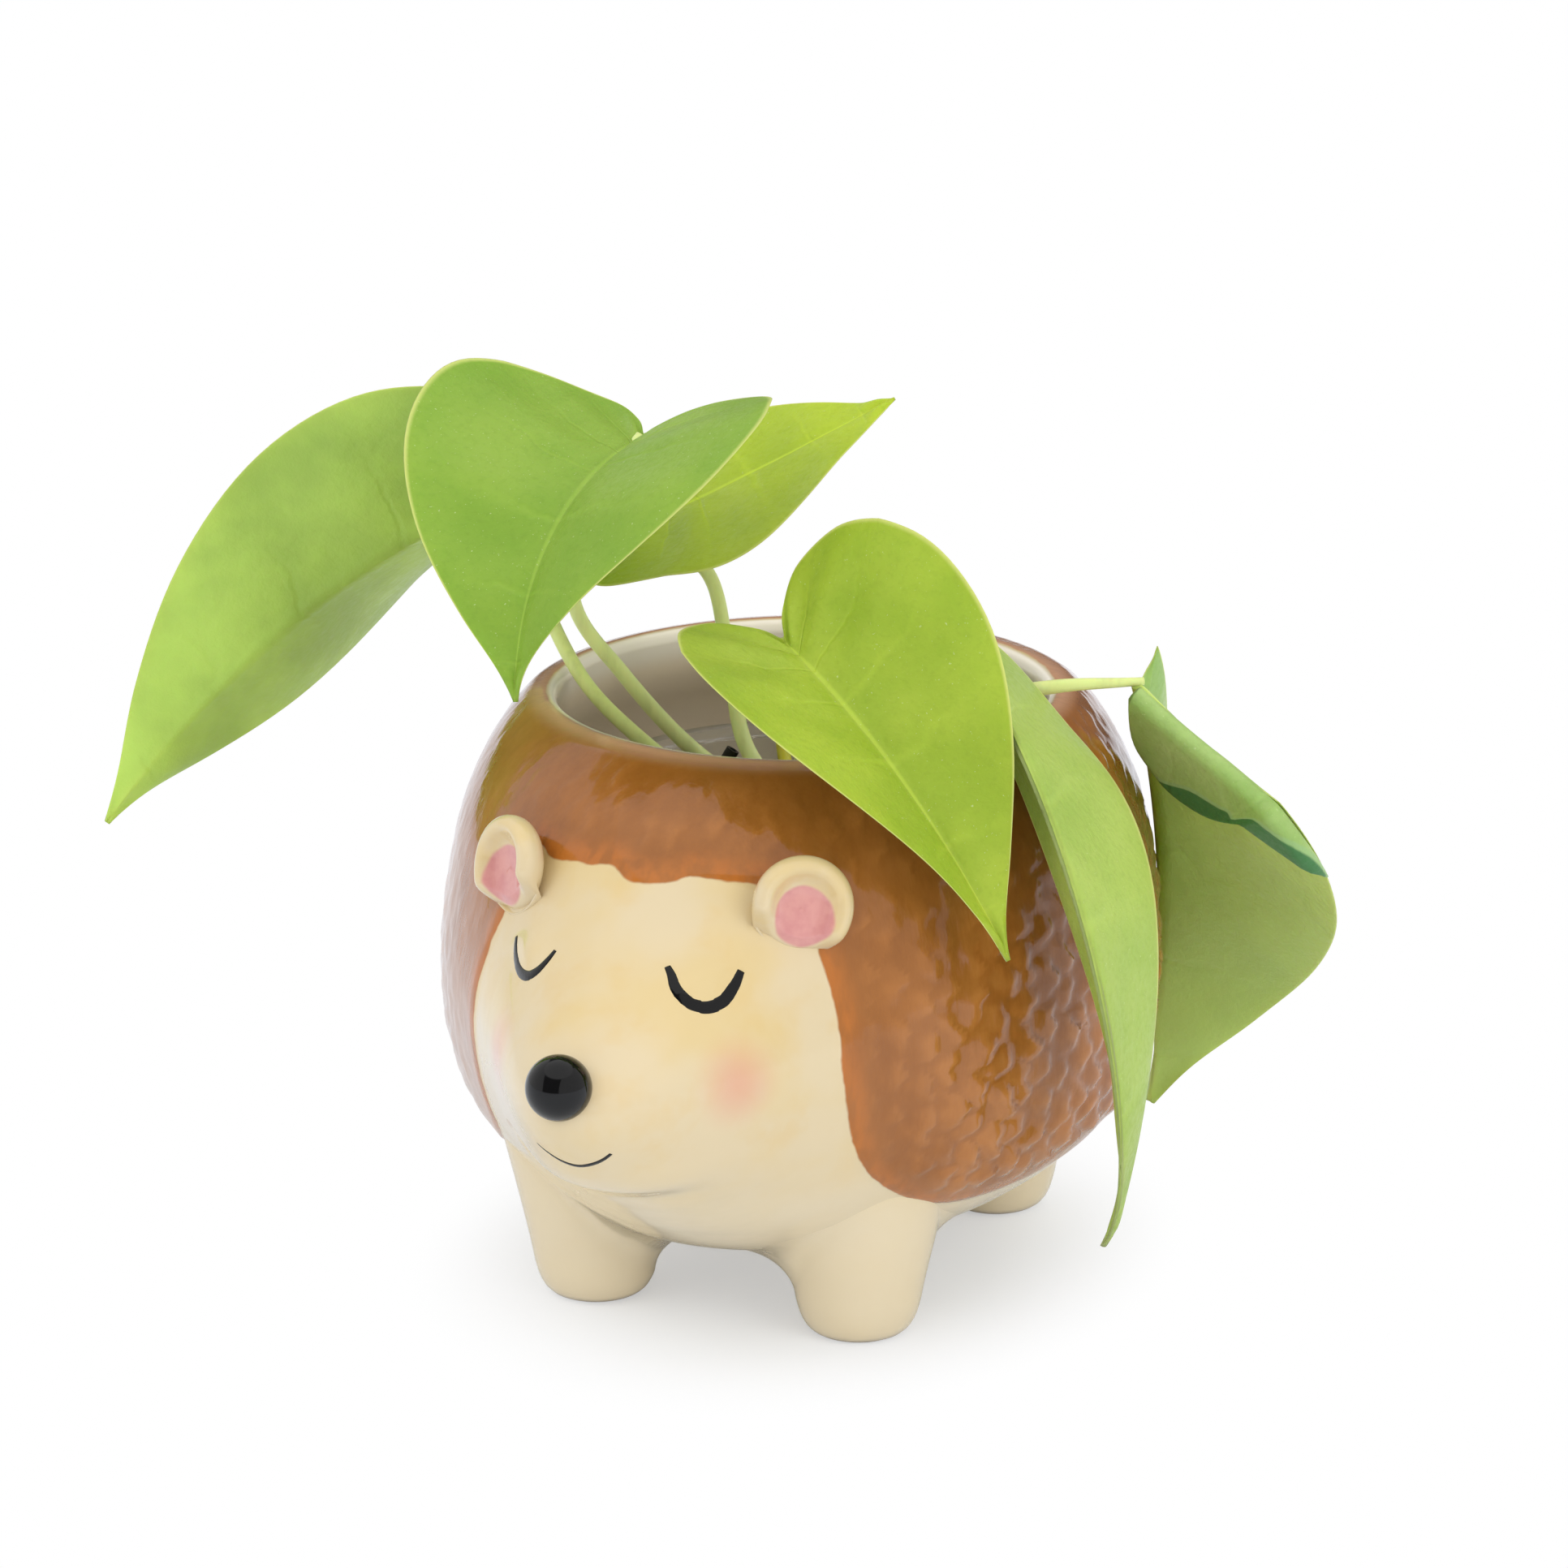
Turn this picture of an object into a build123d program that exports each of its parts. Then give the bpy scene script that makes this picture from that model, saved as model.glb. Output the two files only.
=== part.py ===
from build123d import *
import math
import os

# Hedgehog planter on four legs, with a clear liner cup and a young heart-leaved vine in it.
# The animal looks along -Y, its left side is +X, and the four feet stand on z = 0.
# The origin lies on that plane, in the middle between the feet. All lengths are in millimetres.

# Pot body
pot_height = 94.0            # feet to the crest of the mouth's lip
belly_height = 11.5          # underside of the belly above the feet
half_width = 55.5            # greatest half width of the body
chest_share = 1.135          # rounded body in front of the mouth's axis, by the half width
rump_share = 1.189           # rounded body behind the mouth's axis, by the half width
snout_share = 0.541          # how far the snout swells past the chest, by the half width
snout_spread_share = 0.432   # sideways spread of the snout, by the half width
shell_wall = 5.0             # slip-cast wall
mouth_share = 0.699          # clear radius of the mouth, as a share of the half width
mouth_shift = 1.0            # the mouth's centre behind the origin
lip_round = 1.4              # rounding of the lip, inside and outside

# Outline of the body from the belly up: share of the height, of the half width, of the chest
# reach, of the rump reach and of the snout reach.
body_shares = (
    (0.000, 0.460, 0.490, 0.480, 0.00),
    (0.042, 0.645, 0.650, 0.635, 0.10),
    (0.127, 0.825, 0.780, 0.785, 0.24),
    (0.236, 0.945, 0.890, 0.910, 0.44),
    (0.370, 0.995, 0.968, 0.985, 0.85),
    (0.515, 1.000, 1.000, 1.000, 1.00),
    (0.660, 0.982, 0.965, 0.970, 0.60),
    (0.806, 0.935, 0.900, 0.905, 0.24),
    (0.927, 0.848, 0.800, 0.803, 0.06),
    (1.000, 0.757, 0.667, 0.667, 0.00),
)
outline_points = 28          # points round each section of the body
first_cavity_row = 1         # the cavity starts one row of the table above the belly

# Legs
leg_side_share = 0.4055      # centre of each leg from the middle plane, by the half width
leg_front_share = 0.5585     # front legs in front of the origin, by the half width
leg_back_share = 0.5405      # back legs behind it, by the half width
leg_length = 25.0            # feet to where the leg is lost in the body
leg_radius = 10.4            # radius of the shaft of a leg
leg_shares = ((0.0, 0.625), (0.024, 0.74), (0.08, 0.855), (0.18, 0.94), (0.32, 1.0),
              (0.52, 1.09), (0.76, 1.24), (1.0, 1.48))
leg_hollow_radius = 4.6      # slip-cast hollow inside each leg
leg_hollow_floor = 6.0       # solid clay under that hollow

# Ears and nose
ear_radius = 8.0
ear_thickness = 6.4
ear_dish_depth = 2.4         # hollow of the ear's front
ear_dish_share = 0.74        # radius of the hollow as a share of the ear's
ear_side_share = 0.432       # ear centre from the middle plane, as a share of the half width
ear_height_share = 0.835     # ear centre above the feet, as a share of the pot's height
ear_proud = 3.6              # ear centre in front of the head's surface
ear_turn = 34.0              # degrees that each ear looks outwards
ear_tip_back = 14.0          # degrees that each ear leans back
nose_radius = 5.3
nose_height_share = 0.613    # nose centre above the feet, as a share of the pot's height
nose_proud = 1.2             # nose centre in front of the snout's tip

# Liner cup
cup_rim_share = 0.84         # top of the cup's rim, as a share of the pot's height
cup_clearance = 5.8          # gap between the mouth and the outside of the cup at its rim
cup_foot_share = 0.727       # outside of the cup at its foot, as a share of that at its rim
cup_wall = 1.0
cup_bead = 1.4               # radius of the rolled rim
seat_gap = 0.2               # free height between parts that rest on each other

# Potting mix, vine crown and stake
mix_top_share = 0.702        # surface of the mix, as a share of the pot's height
mix_gap = 0.4                # gap between the mix and the cup's wall
mix_crumb = 1.5              # rounding of the root ball's edges
crown_radius = 4.2
crown_rise = 9.5             # height of the crown above the mix
crown_depth = 12.0           # length of the vine stem that stands in the mix
stake_radius = 1.1
stake_bore = 0.6
stake_depth = 7.0            # length of the stake that stands in the mix

# Foliage
blade_thickness = 0.6
leaf_length = 90.0           # length that the blades' shares follow
leaf_half_width = 31.0       # half width that the blades' shares follow
petiole_radius = 1.3
yellow_stem_radius = 1.25
petiole_turn_share = 0.45    # bend radius of a stem as a share of its shorter run

# Half a blade laid flat: share of the length reached on the midrib, then the margin point on the
# same row, as shares of the length and of the half width. Negative shares are the lobes.
blade_shares = (
    (0.008, -0.010, 0.045),
    (0.020, -0.080, 0.130),
    (0.040, -0.160, 0.340),
    (0.080, -0.140, 0.640),
    (0.140, -0.005, 0.880),
    (0.230, 0.160, 1.000),
    (0.370, 0.360, 0.960),
    (0.560, 0.570, 0.750),
    (0.750, 0.760, 0.440),
    (0.900, 0.900, 0.170),
    (0.985, 0.985, 0.025),
)
blade_columns = 3            # points across half a blade

# Each blade: place of its base (shares of the pot's half width twice and of its height), length,
# half width and lobe size as shares, the way it points in degrees (heading from +X towards +Y,
# pitch above the level at base and tip), its roll and twist about the midrib, then the fold, the
# curl and the width share of its left and right half, and how much its tip narrows.
leaf_shares = {
    "left": dict(base=(-0.980, 0.211, 1.266), size=(1.000, 0.995, 1.0), heading=-164.0,
                 pitch=(-25.0, -61.0), roll=36.5, twist=39.0, fold=(16.0, 16.0),
                 curl=(5.0, 27.0), sides=(1.00, 1.025), taper=0.40),
    "front": dict(base=(-0.411, -0.168, 1.436), size=(0.618, 1.040, 0.77), heading=-107.0,
                  pitch=(-7.5, -76.5), roll=13.5, twist=-16.5, fold=(16.0, 15.5),
                  curl=(-20.0, 29.0), sides=(1.03, 1.06), taper=0.66),
    "back": dict(base=(-0.503, -0.009, 1.253), size=(0.515, 0.795, 1.43), heading=33.0,
                 pitch=(22.5, 28.0), roll=11.0, twist=2.0, fold=(1.5, 3.5),
                 curl=(-4.5, -2.5), sides=(1.01, 1.00), taper=0.32),
    "centre": dict(base=(0.164, -0.515, 1.168), size=(0.714, 0.858, 0.84), heading=-30.5,
                   pitch=(-21.0, -63.5), roll=19.0, twist=-29.0, fold=(27.5, 14.0),
                   curl=(23.5, 24.0), sides=(1.04, 0.88), taper=0.62),
    "side": dict(base=(0.649, -0.359, 1.149), size=(1.335, 0.755, 0.79), heading=-46.5,
                 pitch=(-16.5, -145.5), roll=11.0, twist=4.5, fold=(-48.5, -105.0),
                 curl=(0.0, 40.0), sides=(1.19, 0.54), taper=0.33),
    "curled": dict(base=(0.937, 0.198, 1.039), size=(1.095, 1.150, -0.2), heading=95.0,
                   pitch=(-49.0, -78.5), roll=16.5, twist=-31.0, fold=(90.0, -15.0),
                   curl=(-22.5, -11.5), sides=(0.24, 1.08), taper=0.0),
}

# Height on the crown where each petiole leaves it, as a share of the crown's free height, the
# points that it passes on its way to its blade, as shares of the pot's half width twice and of its
# height, and how far short of the blade's base it ends, as a share of its own radius.
petiole_shares = {
    "left": (0.20, ((-0.422, -0.135, 0.893), (-0.607, -0.133, 0.984), (-0.757, -0.063, 1.085)), 0.20),
    "front": (0.62, ((-0.259, -0.146, 0.890), (-0.438, -0.277, 1.043), (-0.535, -0.377, 1.165),
                     (-0.544, -0.369, 1.303)), 0.20),
    "back": (0.80, ((-0.162, 0.014, 0.867), (-0.265, 0.086, 1.037), (-0.344, 0.132, 1.160)), 0.95),
    "centre": (0.85, ((0.061, -0.137, 0.911), (0.142, -0.332, 1.057)), 0.20),
    "side": (0.50, ((0.171, -0.011, 0.897), (0.405, -0.090, 1.040)), 0.20),
    "curled": (0.20, ((0.288, 0.036, 0.883), (0.533, 0.027, 1.005), (0.737, 0.072, 1.037)), 0.20),
}
yellow_stem_shares = ((-0.137, 0.189, 0.872), (-0.142, 0.193, 0.956))
stake_top_shares = (-0.279, 0.160, 0.846)
stake_lean_shares = (-0.095, -0.044, -0.175)   # way from the stake's top towards its foot

chest_reach = chest_share * half_width
rump_reach = rump_share * half_width
snout_reach = snout_share * half_width
snout_half_width = snout_spread_share * half_width
leg_side = leg_side_share * half_width
leg_front = leg_front_share * half_width
leg_back = leg_back_share * half_width
mouth_radius = mouth_share * half_width
cup_rim_height = cup_rim_share * pot_height
cup_rim_radius = mouth_radius - cup_clearance
cup_foot_radius = cup_foot_share * cup_rim_radius
mix_top = mix_top_share * pot_height
crown_top = mix_top + crown_rise

os.makedirs("parts", exist_ok=True)


def save(name, shape, colour):
    shape.label = name
    shape.color = Color(*colour)
    export_step(shape, f"parts/{name}.step")
    return shape


def solid_of(shape):
    """The largest solid of a boolean's result, so that each piece is one solid."""
    return max(shape.solids(), key=lambda piece: piece.volume)


def section(row, height, inset):
    """Closed outline of the body at one row of the table, drawn at a height and set inwards."""
    wide = row[1] * half_width - inset
    chest = row[2] * chest_reach - inset
    rump = row[3] * rump_reach - inset
    snout = row[4] * snout_reach
    points = []
    for index in range(outline_points):
        angle = 2 * math.pi * index / outline_points
        x = wide * math.cos(angle)
        y = rump * math.sin(angle)
        if math.sin(angle) < 0:
            swell = snout * math.exp(-((x / snout_half_width) ** 2)) * math.sqrt(-math.sin(angle))
            y = chest * math.sin(angle) - swell
        points.append((x, y, height))
    return Wire([Spline(*points, periodic=True).edge()])


def body_height(share):
    return belly_height + share * (pot_height - belly_height)


def cavity_height(share):
    """The cavity's rows spread from its floor to just under the mouth's lip."""
    floor = belly_height + shell_wall
    low = body_shares[first_cavity_row][0]
    return floor + (share - low) / (1 - low) * (pot_height - 2 * lip_round - floor)


def leg_profile(x, y):
    """One leg turned about its own upright axis, flaring into the body at its top."""
    points = [(share[1] * leg_radius, 0, share[0] * leg_length) for share in leg_shares]
    side = Spline(*points)
    outline = Wire([
        Line((0, 0, 0), points[0]).edge(),
        side.edge(),
        Line(points[-1], (0, 0, leg_length)).edge(),
        Line((0, 0, leg_length), (0, 0, 0)).edge(),
    ])
    return Pos(x, y, 0) * revolve(Face(outline), Axis.Z)


def leg_hollow(x, y):
    """Blind hollow inside a leg, open into the cavity."""
    top = belly_height + shell_wall + leg_hollow_radius
    standing = (Align.CENTER, Align.CENTER, Align.MIN)
    plug = Cylinder(leg_hollow_radius, top - leg_hollow_floor, align=standing)
    plug = fillet(plug.edges().group_by(Axis.Z)[0], leg_hollow_radius / 2)
    return Pos(x, y, leg_hollow_floor) * plug


def build_pot():
    """Hollow slip-cast body: lofted outside and cavity, four hollow legs and a rounded lip."""
    outside = Solid.make_loft([section(row, body_height(row[0]), 0) for row in body_shares])
    rows = body_shares[first_cavity_row:]
    cavity = Solid.make_loft([section(row, cavity_height(row[0]), shell_wall) for row in rows])
    throat = Pos(0, mouth_shift, pot_height) * Cylinder(mouth_radius, 3 * shell_wall)
    places = [(side * leg_side, y) for side in (-1, 1) for y in (-leg_front, leg_back)]
    filled = Part() + outside
    for x, y in places:
        filled += leg_profile(x, y)
    hollow = Part() + cavity + throat
    for x, y in places:
        hollow += leg_hollow(x, y)
    shell = solid_of(filled - hollow)
    lip = [edge for edge in shell.edges() if abs(edge.center().Z - pot_height) < lip_round / 4]
    shell = solid_of(fillet(lip, lip_round)) if lip else shell
    return shell, filled


def front_of(filled, x, height):
    """Where a line from the front first meets the head, as a distance along Y."""
    sight = Axis((x, -rump_reach - chest_reach - snout_reach, height), (0, 1, 0))
    return min(point.Y for point, normal in filled.find_intersection_points(sight))


def build_ear(side, filled):
    """Thick round ear with a dished front, cut to sit on the head."""
    disc = Cylinder(ear_radius, ear_thickness)
    disc = fillet(disc.edges(), ear_thickness * 0.45)
    dish_radius = ear_radius * ear_dish_share
    ball = (dish_radius ** 2 + ear_dish_depth ** 2) / (2 * ear_dish_depth)
    ear = disc - Pos(0, 0, ear_thickness / 2 - ear_dish_depth + ball) * Sphere(ball)
    look = Rot(0, 0, side * ear_turn) * Rot(90 - ear_tip_back, 0, 0)
    x = side * ear_side_share * half_width
    height = ear_height_share * pot_height
    ear = Pos(x, front_of(filled, x, height) - ear_proud, height) * look * ear
    return solid_of(ear - filled)


def build_nose(filled):
    """Round nose, cut to sit on the end of the snout."""
    ball = Rot(90, 0, 0) * Sphere(nose_radius)
    height = nose_height_share * pot_height
    return solid_of(Pos(0, front_of(filled, 0, height) - nose_proud, height) * ball - filled)


def cup_floor():
    return belly_height + shell_wall + seat_gap


def cup_slope():
    """Outward lean of the cup's side for each unit of height."""
    return (cup_rim_radius - cup_foot_radius) / (cup_rim_height - cup_floor())


def build_cup():
    """Thin tapered cup with a rolled rim, turned about the mouth's axis."""
    low = cup_floor()
    with BuildPart() as cup:
        with BuildSketch(Plane.XZ):
            with BuildLine():
                Polyline(
                    (0, low),
                    (cup_foot_radius, low),
                    (cup_rim_radius, cup_rim_height - cup_bead),
                    (cup_rim_radius - cup_wall, cup_rim_height - cup_bead),
                    (cup_foot_radius - cup_wall, low + cup_wall),
                    (0, low + cup_wall),
                    close=True,
                )
            make_face()
        revolve(axis=Axis.Z)
    bead = Torus(cup_rim_radius, cup_bead)
    cup_shape = cup.part + Pos(0, 0, cup_rim_height - cup_bead) * bead
    return solid_of(cup_shape)


def build_mix(inner_pieces):
    """Root ball that fills the cup, with holes for the crown and the stake."""
    low = cup_floor() + cup_wall + seat_gap
    inset = cup_wall + mix_gap
    foot = cup_foot_radius - inset
    top = cup_foot_radius + cup_slope() * (mix_top - cup_floor()) - inset
    with BuildPart() as ball:
        with BuildSketch(Plane.XZ):
            with BuildLine():
                Polyline((0, low), (foot, low), (top, mix_top), (0, mix_top), close=True)
            make_face()
        revolve(axis=Axis.Z)
    shape = fillet(ball.part.edges().filter_by(GeomType.CIRCLE), mix_crumb)
    for piece in inner_pieces:
        shape -= piece
    return solid_of(shape)


def build_crown():
    """Stub of the vine that stands in the mix and carries the petioles."""
    length = crown_top - mix_top + crown_depth
    stub = Cylinder(crown_radius, length, align=(Align.CENTER, Align.CENTER, Align.MIN))
    stub = fillet(stub.edges().group_by(Axis.Z)[-1], crown_radius / 2)
    return Pos(0, 0, mix_top - crown_depth) * stub


def plant_point(shares):
    """Place in the plant, from shares of the pot's half width twice and of its height."""
    return Vector(shares[0] * half_width, shares[1] * half_width, shares[2] * pot_height)


def build_stake():
    """Thin tube, cut square at the top, that leans in the mix."""
    top = plant_point(stake_top_shares)
    lean = Vector(*stake_lean_shares).normalized()
    length = (top.Z - mix_top + stake_depth) / -lean.Z
    place = Plane(origin=top, z_dir=lean)
    tube = extrude(place * Circle(stake_radius), length)
    bore = extrude(place * Circle(stake_bore), stake_depth / 2)
    return solid_of(tube - bore)


def turned(vector, axis, degrees):
    """A vector turned about a unit axis."""
    angle = math.radians(degrees)
    along = axis * axis.dot(vector) * (1 - math.cos(angle))
    return vector * math.cos(angle) + axis.cross(vector) * math.sin(angle) + along


def blade_point(leaf, row, across, side, lift):
    """Point of a bent blade: the midrib is an arc in an upright plane, each half leaves it at its
    fold angle and curls on evenly, and the whole blade is twisted along and rolled about it."""
    length = leaf["size"][0] * leaf_length
    wide = leaf["size"][1] * leaf_half_width
    half = 0 if side > 0 else 1
    margin = row[1] * (leaf["size"][2] if row[1] < 0 else 1)
    along = (row[0] + (margin - row[0]) * across) * length
    narrow = 1 - leaf["taper"] * max(0, (row[0] - 0.14) / 0.86) ** 1.5
    out = row[2] * across * wide * leaf["sides"][half] * narrow
    heading = math.radians(leaf["heading"])
    first = math.radians(leaf["pitch"][0])
    bend = (math.radians(leaf["pitch"][1]) - first) / length
    ahead = max(along, 0)
    behind = min(along, 0)
    level = (math.sin(first + bend * ahead) - math.sin(first)) / bend + behind * math.cos(first)
    rise = (math.cos(first) - math.cos(first + bend * ahead)) / bend + behind * math.sin(first)
    pitch = first + bend * ahead
    forward = Vector(math.cos(heading), math.sin(heading), 0)
    up = Vector(0, 0, 1)
    left = up.cross(forward)
    tangent = forward * math.cos(pitch) + up * math.sin(pitch)
    normal = up * math.cos(pitch) - forward * math.sin(pitch)
    twist = leaf["twist"] * max(0, along / length)
    left = turned(left, tangent, twist)
    normal = turned(normal, tangent, twist)
    fold = math.radians(leaf["fold"][half])
    curl = math.radians(leaf["curl"][half] or 0.1) / wide
    sweep = (math.sin(fold + curl * out) - math.sin(fold)) / curl
    climb = (math.cos(fold) - math.cos(fold + curl * out)) / curl
    face = normal * math.cos(fold + curl * out) - left * side * math.sin(fold + curl * out)
    spot = forward * level + up * rise + left * side * sweep + normal * climb + face * lift
    start = forward * math.cos(first) + up * math.sin(first)
    return turned(spot, start, leaf["roll"]) + plant_point(leaf["base"])


def half_blade(leaf, side):
    """Half a blade, lofted through rows that fan out from the midrib to the margin. The first and
    last rows are straight-sided and flat, so that the loft can be closed there."""
    thick = blade_thickness / 2
    steps = [column / (blade_columns - 1) for column in range(blade_columns)]
    rows = []
    for row in blade_shares:
        upper = [blade_point(leaf, row, step, side, thick) for step in steps]
        lower = [blade_point(leaf, row, step, side, -thick) for step in reversed(steps)]
        if row in (blade_shares[0], blade_shares[-1]):
            flat = Plane(origin=upper[0], x_dir=upper[-1] - upper[0],
                         z_dir=(upper[-1] - upper[0]).cross(lower[-1] - upper[0]))
            corner = flat.to_local_coords(lower[0])
            corner = flat.from_local_coords(Vector(corner.X, corner.Y, 0))
            rows.append(Wire([
                Line(upper[0], upper[-1]).edge(),
                Line(upper[-1], corner).edge(),
                Line(corner, lower[-1]).edge(),
                Line(lower[-1], upper[0]).edge(),
            ]))
        else:
            rows.append(Wire([
                Spline(*upper).edge(),
                Line(upper[-1], lower[0]).edge(),
                Spline(*lower).edge(),
                Line(lower[-1], upper[0]).edge(),
            ]))
    half = Solid.make_loft(rows, ruled=True)
    if half.volume < 0:
        half.wrapped.Reverse()
    return half


def build_leaf(leaf):
    """A whole blade: two halves that meet along the midrib."""
    return solid_of(Part() + half_blade(leaf, 1) + half_blade(leaf, -1))


def bent_stem(points, radius):
    """Round stem along straight runs joined by tangent bends as large as the runs allow."""
    bends = []
    for before, corner, after in zip(points, points[1:], points[2:]):
        run_in = corner - before
        run_out = after - corner
        turn = math.radians(run_in.get_angle(run_out))
        shorter = min(run_in.length, run_out.length)
        bends.append(petiole_turn_share * shorter / math.tan(turn / 2))
    path = FilletPolyline(*points, radius=bends) if bends else Line(*points)
    start = Plane(origin=points[0], z_dir=points[1] - points[0])
    return solid_of(sweep(start * Circle(radius), path=path))


def build_petiole(name, crown, blade):
    """Stem from inside the crown to the base of its blade, cut to meet both."""
    share, places, seat = petiole_shares[name]
    root = Vector(0, 0, mix_top + share * (crown_top - mix_top))
    middle = [plant_point(place) for place in places]
    base = plant_point(leaf_shares[name]["base"])
    last = (base - middle[-1]).normalized()
    points = [root] + middle + [base - last * seat * petiole_radius]
    return solid_of(bent_stem(points, petiole_radius) - crown - blade)


CREAM = (0.93, 0.86, 0.70)
PINK_CREAM = (0.90, 0.72, 0.62)
BLACK = (0.03, 0.03, 0.03)
CLEAR = (0.85, 0.90, 0.92)
SOIL = (0.20, 0.13, 0.08)
GREEN = (0.45, 0.68, 0.22)
STEM_GREEN = (0.55, 0.70, 0.30)
YELLOW = (0.78, 0.74, 0.15)

pot_shell, pot_filled = build_pot()
save("pot_shell", pot_shell, CREAM)
save("left_ear", build_ear(1, pot_filled), PINK_CREAM)
save("right_ear", build_ear(-1, pot_filled), PINK_CREAM)
save("nose", build_nose(pot_filled), BLACK)
save("liner_cup", build_cup(), CLEAR)

vine_crown = build_crown()
support_stake = build_stake()
save("vine_crown", vine_crown, STEM_GREEN)
save("support_stake", support_stake, BLACK)
save("potting_mix", build_mix([vine_crown, support_stake]), SOIL)

for leaf_name, leaf_form in leaf_shares.items():
    leaf_blade = build_leaf(leaf_form)
    save(f"leaf_{leaf_name}", leaf_blade, GREEN)
    save(f"petiole_{leaf_name}", build_petiole(leaf_name, vine_crown, leaf_blade), STEM_GREEN)

stem_root = Vector(0, 0, crown_top - crown_radius)
yellow_points = [stem_root] + [plant_point(place) for place in yellow_stem_shares]
save("old_petiole", solid_of(bent_stem(yellow_points, yellow_stem_radius) - vine_crown), YELLOW)
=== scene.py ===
import math

import bpy
import numpy as np
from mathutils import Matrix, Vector
from mathutils.bvhtree import BVHTree


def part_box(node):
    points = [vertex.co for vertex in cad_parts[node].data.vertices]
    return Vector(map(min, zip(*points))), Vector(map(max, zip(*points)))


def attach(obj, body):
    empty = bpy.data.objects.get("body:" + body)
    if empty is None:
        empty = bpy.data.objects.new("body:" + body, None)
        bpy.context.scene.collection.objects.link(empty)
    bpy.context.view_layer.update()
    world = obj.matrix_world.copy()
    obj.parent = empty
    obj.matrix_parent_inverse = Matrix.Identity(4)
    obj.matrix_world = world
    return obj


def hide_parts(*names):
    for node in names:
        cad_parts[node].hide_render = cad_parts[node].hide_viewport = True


bl_info = {
    "name": "Hedgehog planter",
    "version": (1, 0, 0),
    "blender": (4, 5, 0),
    "location": "3D View > Sidebar > Planter",
    "description": "A glazed hedgehog planter with a young heart-leaved vine in a clear liner cup",
    "category": "Add Mesh",
}

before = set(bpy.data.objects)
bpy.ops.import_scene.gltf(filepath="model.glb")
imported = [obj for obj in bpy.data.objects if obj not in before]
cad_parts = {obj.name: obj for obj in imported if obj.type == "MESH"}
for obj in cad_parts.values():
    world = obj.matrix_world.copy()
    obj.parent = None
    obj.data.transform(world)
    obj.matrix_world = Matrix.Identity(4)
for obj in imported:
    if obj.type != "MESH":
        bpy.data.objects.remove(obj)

MM = 0.001

# Body of the pot from the middle of the belly, up the outside, over the lip and down the inside:
# height, half width, reach to the front, reach to the rear and swell of the snout, in millimetres.
BODY_ROWS = np.array((
    (11.5, 0.1, 0.1, 0.1, 0.0),
    (11.5, 13.0, 15.0, 16.0, 0.0),
    (11.5, 25.0, 30.0, 31.0, 0.0),
    (12.5, 30.5, 35.5, 36.2, 1.0),
    (15.0, 36.0, 41.0, 42.0, 3.0),
    (22.0, 45.8, 49.1, 51.8, 7.2),
    (31.0, 52.4, 56.1, 60.1, 13.2),
    (42.0, 55.2, 61.0, 65.0, 25.5),
    (54.0, 55.5, 63.0, 66.0, 30.0),
    (66.0, 54.5, 60.8, 64.0, 18.0),
    (78.0, 51.9, 56.7, 59.7, 7.2),
    (88.0, 47.0, 50.3, 53.0, 1.8),
    (92.0, 44.0, 45.4, 48.2, 0.4),
    (93.5, 42.4, 42.8, 45.2, 0.1),
    (94.0, 40.8, 40.8, 42.8, 0.0),
    (93.5, 39.4, 38.6, 40.6, 0.0),
    (92.0, 38.8, 37.8, 39.8, 0.0),
    (88.0, 39.0, 38.4, 40.6, 0.0),
    (82.0, 43.0, 46.0, 49.0, 1.0),
    (70.0, 48.6, 54.5, 57.6, 8.0),
    (54.0, 50.4, 57.8, 61.0, 24.0),
    (38.0, 49.0, 53.5, 57.8, 17.0),
    (26.0, 44.0, 47.0, 50.5, 8.0),
    (19.0, 36.0, 41.0, 42.5, 3.0),
    (16.6, 27.0, 32.0, 33.0, 0.0),
    (16.5, 12.0, 14.0, 15.0, 0.0),
    (16.5, 0.1, 0.1, 0.1, 0.0),
))
# Rows of that table: the rim of the flat belly, the top of the side, the crest and inner end of the
# lip. Then the sideways spread of the snout in millimetres, and the points once round the body.
BELLY_RIM, SIDE_TOP, CREST, LIP_END = 3, 12, 14, 16
SNOUT_SPREAD = 24.0
BODY_COLUMNS = 470

# Lower edge of the brown coat: degrees round from the front, height in millimetres.
COAT_EDGE = np.array((
    (0, 79.6), (3, 79.8), (6, 80.9), (9, 80.6), (13, 80.2), (18, 79.6), (23, 80.5), (25.6, 76.0),
    (24.6, 71.2), (26.2, 64.6), (27.2, 60.0), (27.4, 54.6), (28.0, 48.4), (29.0, 42.0),
    (30.8, 36.0), (34.0, 31.4), (38.9, 27.4), (44.4, 24.6), (51.4, 22.9), (60, 22.5),
    (72, 23.0), (90, 24.5), (115, 25.5), (150, 25.0), (185, 25.0),
))

# Millimetres from the coat's edge deep in the coat and far outside it, and from the lip on a leg.
FULL_COAT, NO_COAT, FAR_FROM_LIP = 9.0, -9.0, -60.0

# Radius of a leg by height, in millimetres, and the places of the four legs.
LEG_PROFILE = np.array(((0.0, 6.5), (0.25, 7.1), (0.9, 8.0), (2.2, 8.9), (4.5, 9.7), (8.0, 10.4),
                        (13.0, 11.5), (19.0, 12.9), (26.0, 14.6), (34.0, 16.4), (46.0, 18.6)))
LEG_PLACES = ((-22.5, -31.0), (22.5, -31.0), (-22.5, 30.0), (22.5, 30.0))

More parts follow.
